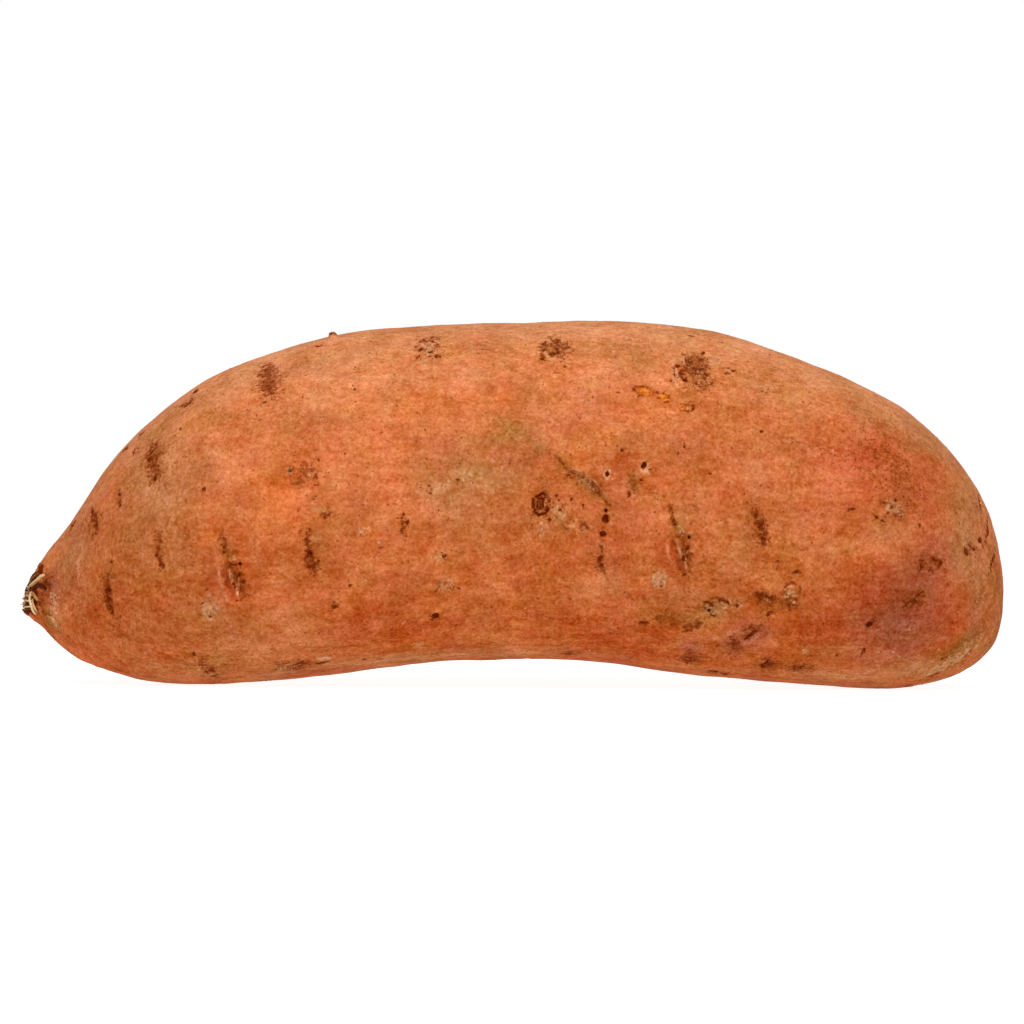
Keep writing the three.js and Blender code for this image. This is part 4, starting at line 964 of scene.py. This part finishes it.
# Soft tints of it, broken up by the flecks: name, colour, strength, and how much cloud is added to it.
TINT_COLOURS = (
    ("tan", "#ab7044", 0.85, -0.35), ("orange", "#d4703a", 0.75, -0.1), ("red", "#ac4219", 0.75, 0.35),
    ("olive", "#87581f", 0.8, 0.0), ("purple", "#8f4a37", 0.85, 0.0),
)
TINT_FLECK = 0.25
for name, hex_code, strength, cloudy in TINT_COLOURS:
    clouds = add(tree, "ShaderNodeMath", {0: grains["cloud"], 1: cloudy, 2: amounts[name]},
                 operation="MULTIPLY_ADD")
    broken = add(tree, "ShaderNodeMath", {0: grains["fleck"], 1: TINT_FLECK, 2: 1.0}, operation="MULTIPLY_ADD")
    mask = add(tree, "ShaderNodeMath", {0: clouds, 1: broken}, operation="MULTIPLY", use_clamp=True)
    scaled = add(tree, "ShaderNodeMath", {0: mask, 1: strength}, operation="MULTIPLY", use_clamp=True)
    colour = add(tree, "ShaderNodeMix", {0: scaled, 6: colour, 7: linear(hex_code)},
                 data_type="RGBA").outputs[2]

# The scars' own tissue: name, colour, a second colour in its grain, strength, and the pattern and the amount of
# it that breaks up the tissue's edge.
TISSUES = (
    ("brown", "#86380a", "#a05822", 0.85, "clot", 0.42), ("cork", "#b9855a", "#c99a6e", 0.75, "crumb", 0.25),
    ("pale", "#cf9669", "#dcab80", 0.75, "crumb", 0.12), ("flesh", "#c9641a", "#e08f3c", 0.95, "grain", 0.14),
    ("dark", "#641c00", "#7a2e08", 0.92, "clot", 0.5),
)
TISSUE_STARTS, TISSUE_FULL = 0.24, 0.8
masks = {}
for name, hex_code, grain_hex, strength, pattern, raggedness in TISSUES:
    ragged = add(tree, "ShaderNodeMath", {0: grains[pattern], 1: raggedness, 2: amounts[name]},
                 operation="MULTIPLY_ADD")
    masks[name] = add(tree, "ShaderNodeMapRange", {
        "Value": ragged, "From Min": TISSUE_STARTS, "From Max": TISSUE_FULL, "To Max": strength},
        interpolation_type="SMOOTHSTEP")
    tissue = add(tree, "ShaderNodeMix", {0: grains["crumb"], 6: linear(hex_code), 7: linear(grain_hex)},
                 data_type="RGBA").outputs[2]
    colour = add(tree, "ShaderNodeMix", {0: masks[name], 6: colour, 7: tissue}, data_type="RGBA").outputs[2]

# Specks: cells of a Voronoi pattern, some of which hold a dot. Spacing and dot radius in mm, share with a dot,
# colour and strength. More of them lie low on the root, so that it is darker towards the bottom, and a scar's
# stipple fills it with them.
LOW_SPECK_SHARE = 0.42
LOW_FALL = -0.7              # from the hollow side up to the back
stipple = add(tree, "ShaderNodeMapRange", {"Value": amounts["stipple"], "From Min": 0.1})
low_down = add(tree, "ShaderNodeMath", {0: amounts["climb"], 1: LOW_FALL, 2: 1.0}, operation="MULTIPLY_ADD")
low_specks = add(tree, "ShaderNodeMath", {0: low_down, 1: LOW_SPECK_SHARE}, operation="MULTIPLY")
SPECKS = (
    (1.4, 0.24, 0.38, "#6e2a12", 0.7), (0.9, 0.15, 0.35, "#85391a", 0.55), (2.1, 0.2, 0.3, "#dda680", 0.4),
    (1.0, 0.27, low_specks, "#8f3a12", 0.55), (0.62, 0.22, stipple, "#64240a", 0.82),
    (0.43, 0.15, stipple, "#702a0c", 0.75),
)
for spacing, radius, share, hex_code, strength in SPECKS:
    cells = add(tree, "ShaderNodeTexVoronoi", {"Vector": place, "Scale": PER_MM / spacing})
    chance = add(tree, "ShaderNodeSeparateColor", {"Color": cells.outputs["Color"]})
    holds = add(tree, "ShaderNodeMath", {0: chance, 1: share}, operation="LESS_THAN")
    dot = add(tree, "ShaderNodeMapRange", {
        "Value": cells.outputs["Distance"], "From Min": radius / spacing, "From Max": 0.4 * radius / spacing})
    both = add(tree, "ShaderNodeMath", {0: dot, 1: holds}, operation="MULTIPLY")
    mask = add(tree, "ShaderNodeMath", {0: both, 1: strength}, operation="MULTIPLY")
    colour = add(tree, "ShaderNodeMix", {0: mask, 6: colour, 7: linear(hex_code)}, data_type="RGBA").outputs[2]

# Flecks lighten and darken the colour without changing its hue, as dusty skin does. They are added as the eye
# sees steps of lightness, between two gammas. The lengthwise fibre shows most low on the root.
EYE_GAMMA = 2.2
LIGHT_RISE = 0.085
FLECKS = (("fleck", 0.107), ("fibre", 0.05), ("grain", 0.055), ("pock", 0.05))
HUE_SIZE = 6.0                       # mm
HUE_CHANGE = (0.15, 0.088, 0.08)     # of red, green and blue
SCAR_CALM = 0.75                     # how much more even the brown and dark tissue of the scars is
low_fibre = add(tree, "ShaderNodeMath", {0: grains["fibre"], 1: low_down}, operation="MULTIPLY")
lightness = add(tree, "ShaderNodeMath", {0: amounts["light"], 1: LIGHT_RISE}, operation="MULTIPLY")
for name, amount in FLECKS:
    pattern = low_fibre if name == "fibre" else grains[name]
    lightness = add(tree, "ShaderNodeMath", {0: pattern, 1: amount, 2: lightness}, operation="MULTIPLY_ADD")
hue_noise = add(tree, "ShaderNodeTexNoise", {
    "Vector": place, "Scale": PER_MM / HUE_SIZE, "Detail": 3.3, "Roughness": 0.77})
hue_shift = add(tree, "ShaderNodeVectorMath", {
    0: hue_noise.outputs["Color"], 1: HUE_CHANGE, 2: [-change / 2 for change in HUE_CHANGE]},
    operation="MULTIPLY_ADD")
scarred = add(tree, "ShaderNodeMath", {0: masks["brown"], 1: masks["dark"]}, operation="MAXIMUM")
calm = add(tree, "ShaderNodeMath", {0: scarred, 1: -SCAR_CALM, 2: 1.0}, operation="MULTIPLY_ADD")
lightness = add(tree, "ShaderNodeMath", {0: lightness, 1: calm}, operation="MULTIPLY")
hue_shift = add(tree, "ShaderNodeVectorMath", {0: hue_shift, "Scale": calm}, operation="SCALE")
seen = add(tree, "ShaderNodeGamma", {"Color": colour, "Gamma": 1 / EYE_GAMMA})
turned = add(tree, "ShaderNodeMix", {0: 1.0, 6: seen, 7: hue_shift}, data_type="RGBA", blend_type="ADD")
flecked = add(tree, "ShaderNodeMix", {0: 1.0, 6: turned.outputs[2], 7: lightness},
              data_type="RGBA", blend_type="ADD")
colour = add(tree, "ShaderNodeGamma", {"Color": flecked.outputs[2], "Gamma": EYE_GAMMA})

# Relief too fine for the mesh, in mm: papery grain and wrinkles over the skin, crumbs in the scars.
FINE_RELIEF = (("fleck", 0.05), ("grain", 0.022), ("crumb", 0.01), ("fibre", 0.025))
CRUMB_RELIEF = 0.06
relief = 0.0
for name, height in FINE_RELIEF:
    relief = add(tree, "ShaderNodeMath", {0: grains[name], 1: height, 2: relief}, operation="MULTIPLY_ADD")
crumbs = add(tree, "ShaderNodeMath", {0: grains["crumb"], 1: amounts["brown"]}, operation="MULTIPLY")
relief = add(tree, "ShaderNodeMath", {0: crumbs, 1: CRUMB_RELIEF, 2: relief}, operation="MULTIPLY_ADD")
bump = add(tree, "ShaderNodeBump", {"Height": relief, "Distance": MM, "Strength": 1.0})
dull = add(tree, "ShaderNodeMath", {0: grains["grain"], 1: 0.06, 2: 0.66}, operation="MULTIPLY_ADD",
           use_clamp=True)
shader = add(tree, "ShaderNodeBsdfPrincipled", {
    "Base Color": colour, "Roughness": dull, "IOR": 1.45, "Specular IOR Level": 0.02, "Normal": bump})
add(tree, "ShaderNodeOutputMaterial", {"Surface": shader})
skin_mesh.materials.append(cured_skin)
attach(skin, "root")
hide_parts(NODE)

# The dried stem stub: where the vine was cut off, its woody strands dried, shrank and frayed into a blunt
# brush. Straw-coloured strands lie between dark flakes of bark, and all grow out of the root's narrow end.
STRAND_SEED = 7
STRAND_SIDES = 8
STRAND_RINGS = 12
BRUSH = 17                   # strands round the tip
BRUSH_PATH = ((0.06, -0.4), (0.042, 0.02), (0.024, 0.08))      # share of the length, and lift in mm
BRUSH_RADIUS = (1.3, 1.7)    # mm across and up, of the blunt end
BREAK_LEAN = 0.9             # mm that the top of the break lies behind its middle
PITH = 15                    # strands inside it
PITH_SHARES = (0.15, 0.42, 0.68)                               # of the brush's radius, in turn
# Short strands that end side by side on the viewer's side of the break: z percent, tone, half width in mm, and
# how far each leans up to its end in mm.
TIP_RIBS = ((9.3, 0.5, 0.22, 0.0), (9.0, 0.72, 0.2, -0.1), (8.72, 0.2, 0.13, 0.05), (8.45, 0.95, 0.18, 0.1),
            (8.16, 0.0, 0.24, 0.02), (7.86, 0.92, 0.18, -0.06), (7.6, 0.25, 0.22, 0.08), (7.36, 0.1, 0.2, 0.1))
TIP_PATH = ((1.15, -0.35), (0.9, 0.02), (0.62, 0.14))          # x percent, and lift in mm
TIP_THICK = 0.2              # mm
TIP_SIDE = (0.6, 0.9)        # turns between which they take the place of the thicker strands
# Loose strands on the viewer's side: tone, half width and thickness in mm, and points as x and z percent and
# lift in mm. A tone of 0 is dark bark, 0.5 is tan, and 1 is straw.
LOOSE_STRANDS = [
    (0.05, 0.3, 0.2, [(1.5, 11.6, -0.35), (1.22, 11.15, 0.05), (0.97, 10.7, 0.1), (0.75, 10.2, 0.05)]),
    (0.5, 0.13, 0.2, [(1.62, 11.3, -0.3), (1.36, 11.0, 0.1), (1.07, 10.6, 0.14), (0.86, 10.25, 0.08)]),
    (0.12, 0.17, 0.2, [(1.8, 11.2, -0.3), (1.52, 10.92, 0.06), (1.22, 10.55, 0.1), (0.95, 10.2, 0.06)]),
    (0.85, 0.34, 0.24, [(2.15, 11.15, -0.4), (1.85, 10.88, 0.02), (1.35, 10.4, 0.12), (0.98, 10.08, 0.15),
                        (0.72, 9.8, 0.1)]),
    (0.6, 0.16, 0.2, [(1.95, 10.7, -0.3), (1.65, 10.45, 0.05), (1.3, 10.12, 0.12), (0.95, 9.85, 0.08)]),
    (0.0, 0.4, 0.14, [(2.35, 9.55, -0.35), (2.15, 9.9, -0.04), (1.75, 10.02, 0.02), (1.3, 9.84, 0.04),
                      (0.95, 9.6, 0.04), (0.7, 9.35, -0.02)]),
    (0.25, 0.26, 0.16, [(2.1, 12.5, -0.4), (1.85, 12.3, -0.06), (1.65, 12.0, -0.04), (1.5, 11.6, -0.1)]),
    (0.6, 0.3, 0.18, [(1.6, 8.4, -0.35), (1.42, 8.75, 0.02), (1.22, 9.1, 0.08), (0.95, 9.4, 0.04)]),
    (0.95, 0.33, 0.24, [(1.36, 6.95, -0.35), (1.22, 7.4, 0.08), (1.08, 7.95, 0.26), (0.9, 8.6, 0.3),
                        (0.94, 9.2, 0.12)]),
    (0.75, 0.16, 0.26, [(1.5, 7.2, -0.3), (1.34, 7.7, 0.1), (1.2, 8.2, 0.16), (1.1, 8.7, 0.05)]),
]
stub_mesh = bpy.data.meshes.new("stem_strands")
stub_parts = bmesh.new()
tone_layer = stub_parts.verts.layers.float.new("tone")
frayed_layer = stub_parts.verts.layers.float.new("frayed")
fibre_layer = stub_parts.verts.layers.float_vector.new("fibre_place")
stem_tip = skin_at([0.0], [0.0])[0]
fray = random.Random(STRAND_SEED)


def lay_strand(tone, wide, thick, places, out):
    """One dried strand through places in mm, in line with out at its root, with a torn end."""
    corners = np.array([2 * places[0] - places[1], *places, 2 * places[-1] - places[-2]])
    reach = np.linalg.norm(places[-1] - places[0])
    shift = fray.uniform(0, 90)
    rings = []
    for i in range(STRAND_RINGS + 1):
        share = i / STRAND_RINGS
        step = min(int(share * (len(places) - 1)), len(places) - 2)
        before, here, after, later = corners[step:step + 4]
        middle = curve_at(before, here, after, later, share * (len(places) - 1) - step)
        ahead = after - before + (later - after) * 0.3
        ahead /= np.linalg.norm(ahead)
        side = np.cross(ahead, out)
        side /= np.linalg.norm(side)
        up = np.cross(side, ahead)
        taper = 0.75 + 0.25 * math.cos(math.pi * (share - 0.35))
        ring = []
        for k in range(STRAND_SIDES):
            angle = 2 * math.pi * k / STRAND_SIDES
            across, over = math.cos(angle), math.sin(angle)
            spot = Vector((share * 2.0, across, over)) + Vector((shift, shift, 0))
            uneven = taper * (1 + 0.3 * noise.noise(spot * 1.1) + 0.16 * noise.noise(spot * 3.1))
            place = middle + side * (wide * uneven * across) + up * (thick * uneven * over)
            if i == STRAND_RINGS:
                place = place + ahead * fray.uniform(-0.3, 0.25)
            vert = stub_parts.verts.new(place * MM)
            vert[tone_layer] = tone
            vert[frayed_layer] = max(0.0, share * 4 - 3)
            vert[fibre_layer] = (share * reach + shift, across, over)
            ring.append(vert)
        rings.append(ring)
    for here, after in zip(rings, rings[1:]):
        for k in range(STRAND_SIDES):
            following = (k + 1) % STRAND_SIDES
            stub_parts.faces.new((here[k], here[following], after[following], after[k]))
    stub_parts.faces.new(rings[0][::-1])
    stub_parts.faces.new(rings[-1])


def on_break(turn, share):
    """The direction outwards at a turn round the break, and the place at a share of the brush's radius."""
    angle = 2 * math.pi * turn
    outside = np.array([0, math.sin(angle), math.cos(angle)])
    return outside, stem_tip + outside * [0, BRUSH_RADIUS[0] * share, BRUSH_RADIUS[1] * share]


def over_front(points):
    """Places over the front's skin, and the way out of it at the second. Points are as in LOOSE_STRANDS."""
    patches = [front_patch(x, z) for x, z, lift in points]
    return [patch[0] + patch[3] * point[2] for patch, point in zip(patches, points)], patches[1][3]


for k in range(BRUSH):
    turn = (k + fray.uniform(-0.25, 0.25)) / BRUSH
    if TIP_SIDE[0] < turn < TIP_SIDE[1]:
        continue
    places = []
    for along, lift in BRUSH_PATH:
        centre, right, around, out = patch_at(along, turn + fray.uniform(-0.012, 0.012))
        places.append(centre + out * lift)
    outside, end = on_break(turn, fray.uniform(0.72, 1.0))
    places.append(end + [fray.uniform(0.15, 0.45) + BREAK_LEAN * max(0.0, outside[2]), 0, 0])
    tone = fray.choice((0.75, 0.9, 1.0)) if k % 2 else fray.choice((0.0, 0.1, 0.3))
    lay_strand(tone, fray.uniform(0.3, 0.5), fray.uniform(0.18, 0.28), places, outside)
for k in range(PITH):
    outside, end = on_break((k + fray.uniform(-0.3, 0.3)) / PITH, PITH_SHARES[k % 3])
    places = [end + [x, 0, 0] for x in (2.2, 1.5, 0.9, fray.uniform(-0.1, 0.4))]
    tone = fray.choice((0.05, 0.15, 0.5, 0.7, 0.95))
    lay_strand(tone, fray.uniform(0.22, 0.36), fray.uniform(0.22, 0.34), places, outside)
for z, tone, wide, lean in TIP_RIBS:
    places, out = over_front([(x, z, lift) for x, lift in TIP_PATH])
    places.append(places[-1] + np.array([-fray.uniform(0.35, 0.6), 0.45, lean]))
    lay_strand(tone, wide, TIP_THICK, places, out)
for tone, wide, thick, points in LOOSE_STRANDS:
    lay_strand(tone, wide, thick, *over_front(points))
bmesh.ops.recalc_face_normals(stub_parts, faces=stub_parts.faces)
stub_parts.to_mesh(stub_mesh)
stub_parts.free()
stub = stand("stem_strands", stub_mesh, smooth=True)

# Dried vine fibre: matt straw with fine lengthwise ribs, and brown-black where bark still clings to it.
STEM_BY_TONE = ((0.0, "#4a1a06"), (0.35, "#7a4118"), (0.62, "#b57d46"), (0.85, "#dcae7c"), (1.0, "#efd2aa"))
FIBRE_STRETCH = (0.7, 2.6, 2.6)                                # the less, the more drawn out
FIBRE_SPREAD = 0.36          # of tone, either way
FIBRE_RELIEF = 0.12          # mm
stem_fibre, tree = bare_material("dried_vine_fibre")
tone = add(tree, "ShaderNodeAttribute", attribute_name="tone").outputs["Fac"]
along_it = add(tree, "ShaderNodeAttribute", attribute_name="fibre_place").outputs["Vector"]
drawn_out = add(tree, "ShaderNodeMapping", {"Vector": along_it, "Scale": FIBRE_STRETCH})
ribbed = add(tree, "ShaderNodeTexNoise", {"Vector": drawn_out, "Scale": 1.0, "Detail": 3.0, "Roughness": 0.7})
spread = add(tree, "ShaderNodeMapRange", {
    "Value": ribbed, "From Min": 0.25, "From Max": 0.75, "To Min": -FIBRE_SPREAD, "To Max": FIBRE_SPREAD})
mixed = add(tree, "ShaderNodeMath", {0: tone, 1: spread}, operation="ADD", use_clamp=True)
ramp = add(tree, "ShaderNodeValToRGB", {"Fac": mixed})
set_stops(ramp, STEM_BY_TONE)
relief = add(tree, "ShaderNodeMath", {0: ribbed, 1: FIBRE_RELIEF}, operation="MULTIPLY")
bump = add(tree, "ShaderNodeBump", {"Height": relief, "Distance": MM, "Strength": 1.0})
shader = add(tree, "ShaderNodeBsdfPrincipled", {
    "Base Color": ramp, "Roughness": 0.72, "IOR": 1.45, "Specular IOR Level": 0.04, "Normal": bump})
add(tree, "ShaderNodeOutputMaterial", {"Surface": shader})
stub_mesh.materials.append(stem_fibre)
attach(stub, "root")

# Small things strewn over a surface: a tree of geometry nodes that sets low lumps on it, more where an
# attribute is high, each with its own size, turn and tone.
STREWN_INPUTS = {"Geometry": "Geometry", "Where": "String", "Per square metre": "Float", "Smallest": "Vector",
                 "Largest": "Vector", "Tumble": "Vector", "Pointed": "Bool", "Seed": "Int",
                 "Material": "Material"}
strewn = bpy.data.node_groups.new("strewn_lumps", "GeometryNodeTree")
for name, kind in STREWN_INPUTS.items():
    strewn.interface.new_socket(name, in_out="INPUT", socket_type="NodeSocket" + kind)
strewn.interface.new_socket("Geometry", in_out="OUTPUT", socket_type="NodeSocketGeometry")
asked = add(strewn, "NodeGroupInput").outputs
where = add(strewn, "GeometryNodeInputNamedAttribute", {"Name": asked["Where"]}, data_type="FLOAT")
density = add(strewn, "ShaderNodeMath", {0: where, 1: asked["Per square metre"]}, operation="MULTIPLY")
points = add(strewn, "GeometryNodeDistributePointsOnFaces", {
    "Mesh": asked["Geometry"], "Density": density, "Seed": asked["Seed"]})
lump = add(strewn, "GeometryNodeMeshIcoSphere", {"Radius": 1.0, "Subdivisions": 1})
spike = add(strewn, "GeometryNodeMeshCone", {
    "Vertices": 5, "Side Segments": 2, "Radius Top": 0.12, "Radius Bottom": 1.0, "Depth": 2.0})
shape = add(strewn, "GeometryNodeSwitch", {"Switch": asked["Pointed"], "False": lump, "True": spike},
            input_type="GEOMETRY")
sizes = add(strewn, "FunctionNodeRandomValue", {0: asked["Smallest"], 1: asked["Largest"], 8: asked["Seed"]},
            data_type="FLOAT_VECTOR")
tumble = add(strewn, "FunctionNodeRandomValue", {0: (0, 0, 0), 1: asked["Tumble"], 8: 3},
             data_type="FLOAT_VECTOR")
turned = add(strewn, "FunctionNodeEulerToRotation", {0: tumble})
facing = add(strewn, "FunctionNodeRotateRotation", {0: points.outputs["Rotation"], 1: turned},
             rotation_space="LOCAL")
placed_lumps = add(strewn, "GeometryNodeInstanceOnPoints", {
    "Points": points, "Instance": shape, "Rotation": facing, "Scale": sizes})
tones = add(strewn, "FunctionNodeRandomValue", {2: 0.0, 3: 1.0, 8: 5}, data_type="FLOAT").outputs[1]
toned = add(strewn, "GeometryNodeStoreNamedAttribute", {
    "Geometry": placed_lumps, "Name": "tone", "Value": tones}, data_type="FLOAT", domain="INSTANCE")
whole = add(strewn, "GeometryNodeRealizeInstances", {"Geometry": toned})
finished = add(strewn, "GeometryNodeSetMaterial", {"Geometry": whole, "Material": asked["Material"]})
add(strewn, "NodeGroupOutput", {"Geometry": finished})


def strew_on(surface, name, settings):
    """A plain mesh of the lumps that the tree strews on a surface."""
    piece = stand(name, surface.copy())
    nodes = piece.modifiers.new("strewn", "NODES")
    nodes.node_group = strewn
    for socket in strewn.interface.items_tree:
        if socket.in_out == "INPUT" and socket.name in settings:
            nodes[socket.identifier] = settings[socket.name]
    lumps = bpy.data.meshes.new_from_object(piece.evaluated_get(bpy.context.evaluated_depsgraph_get()))
    piece.modifiers.remove(nodes)
    piece.data = lumps
    lumps.name = name
    return piece


CORK_GRAIN = 0.3             # mm
CORK_TONE_CHANGE = 0.3       # of tone, from the grain
CORK_BUMP = 0.04             # mm


def cork_material(name, by_tone, roughness):
    """Dry cork whose colour goes by each lump's own tone, flecked with finer grain."""
    material, tree = bare_material(name)
    tone = add(tree, "ShaderNodeAttribute", attribute_name="tone").outputs["Fac"]
    place = add(tree, "ShaderNodeTexCoord").outputs["Object"]
    grain = add(tree, "ShaderNodeTexNoise", {"Vector": place, "Scale": PER_MM / CORK_GRAIN, "Detail": 2.0})
    mixed = add(tree, "ShaderNodeMath", {0: grain, 1: CORK_TONE_CHANGE, 2: tone}, operation="MULTIPLY_ADD")
    even = add(tree, "ShaderNodeMath", {0: mixed, 1: CORK_TONE_CHANGE / 2}, operation="SUBTRACT",
               use_clamp=True)
    ramp = add(tree, "ShaderNodeValToRGB", {"Fac": even})
    set_stops(ramp, by_tone)
    bump = add(tree, "ShaderNodeBump", {"Height": grain, "Distance": CORK_BUMP * MM, "Strength": 1.0})
    shader = add(tree, "ShaderNodeBsdfPrincipled", {
        "Base Color": ramp, "Roughness": roughness, "IOR": 1.45, "Specular IOR Level": 0.1, "Normal": bump})
    add(tree, "ShaderNodeOutputMaterial", {"Surface": shader})
    return material


# Lenticels: the pores that the root breathed through, each a low corky lump about half a mm across, proud of
# the skin. Most dried red-brown, and some paler than the skin.
LENTICEL_BY_TONE = ((0.0, "#863a14"), (0.5, "#9e5026"), (0.8, "#b0683c"), (1.0, "#c48a60"))
lenticels = strew_on(skin_mesh, "lenticels", {
    "Where": "smooth", "Per square metre": 0.036 / MM**2, "Smallest": (0.14 * MM, 0.12 * MM, 0.03 * MM),
    "Largest": (0.3 * MM, 0.22 * MM, 0.07 * MM), "Tumble": (0, 0, math.pi), "Pointed": False, "Seed": 11,
    "Material": cork_material("lenticel_cork", LENTICEL_BY_TONE, 0.75)})
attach(lenticels, "root")

# Cork crumbs: the dead outer cork on the scars cracked into angular chips that cling to them. They go from
# dark brown to tan.
CRUMB_BY_TONE = ((0.0, "#672406"), (0.45, "#864010"), (0.8, "#965222"), (1.0, "#a56a3a"))
crumbs = strew_on(skin_mesh, "cork_crumbs", {
    "Where": "crumbly", "Per square metre": 2.0 / MM**2, "Smallest": (0.07 * MM, 0.06 * MM, 0.03 * MM),
    "Largest": (0.24 * MM, 0.19 * MM, 0.09 * MM), "Tumble": (math.pi, math.pi, math.pi), "Pointed": False,
    "Seed": 23, "Material": cork_material("dry_scar_cork", CRUMB_BY_TONE, 0.8)})
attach(crumbs, "root")

# Stem fibres: hair-thin ends that the strands frayed into where the stem broke. Each is a stiff point, and
# they go from brown to pale straw.
FIBRE_BY_TONE = ((0.0, "#6b3a1a"), (0.4, "#b58a58"), (0.7, "#d6b583"), (1.0, "#ead6ad"))
fibres = strew_on(stub_mesh, "stem_fibres", {
    "Where": "frayed", "Per square metre": 5.0 / MM**2, "Smallest": (0.04 * MM, 0.04 * MM, 0.1 * MM),
    "Largest": (0.08 * MM, 0.08 * MM, 0.4 * MM), "Tumble": (0.5, 0.5, 3.0), "Pointed": True, "Seed": 31,
    "Material": cork_material("frayed_vine_fibre", FIBRE_BY_TONE, 0.75)})
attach(fibres, "root")

# The floor is a pale sheet of board lit from below, as on a light table, and the room round it is white.
HALF_FLOOR = 3.0             # metres
floor_mesh = bpy.data.meshes.new("floor")
floor_corners = [(x * HALF_FLOOR, y * HALF_FLOOR, 0) for x, y in ((-1, -1), (1, -1), (1, 1), (-1, 1))]
floor_mesh.from_pydata(floor_corners, [], [(0, 1, 2, 3)])
floor = stand("floor", floor_mesh)
board = bpy.data.materials.new("pale_lit_board")
board.use_nodes = True
board_shader = board.node_tree.nodes["Principled BSDF"]
board_shader.inputs["Base Color"].default_value = (0.32, 0.32, 0.32, 1)
board_shader.inputs["Roughness"].default_value = 0.9
board_shader.inputs["Emission Color"].default_value = (1, 1, 1, 1)
board_shader.inputs["Emission Strength"].default_value = 0.92
floor_mesh.materials.append(board)

# The room gives weak even light, and looks white to the camera.
ROOM_LIGHT = 0.25            # of the white that the camera sees
room = bpy.data.worlds.new("white_room")
room.use_nodes = True
bpy.context.scene.world = room
room_tree = room.node_tree
looks = add(room_tree, "ShaderNodeLightPath").outputs["Is Camera Ray"]
strength = add(room_tree, "ShaderNodeMath", {0: looks, 1: 1 - ROOM_LIGHT, 2: ROOM_LIGHT},
               operation="MULTIPLY_ADD")
room_tree.links.new(strength.outputs[0], room_tree.nodes["Background"].inputs["Strength"])
room_tree.nodes["Background"].inputs["Color"].default_value = (1, 1, 1, 1)

# One broad soft lamp hangs above the root, on the viewer's side.
lamp_data = bpy.data.lights.new("soft_box", "AREA")
lamp_data.shape = "RECTANGLE"
lamp_data.size = 0.7
lamp_data.size_y = 0.5
lamp_data.energy = 8.5
lamp = stand("soft_box", lamp_data)
lamp.location = (0, -0.55, 0.8)
lamp.rotation_euler = (Vector((0, 0, 0.03)) - lamp.location).to_track_quat("-Z", "Y").to_euler()

# The camera looks at the root from its front, level with its middle, with a long lens.
FILLS = 0.956                # of the picture's width that the root takes up
FRAME_WIDTH = LENGTH / FILLS
SENSOR = 36.0
ROLL = -0.337                # degrees
camera_data = bpy.data.cameras.new("camera")
camera_data.sensor_width = SENSOR
camera_data.lens = SENSOR * VIEW_DISTANCE / FRAME_WIDTH
camera_data.clip_start = 0.05
camera = stand("camera", camera_data)
camera.location = Vector(viewpoint) * MM
camera.rotation_euler = (math.radians(90), math.radians(ROLL), 0)
bpy.context.scene.camera = camera
bpy.context.scene.view_settings.view_transform = "Standard"
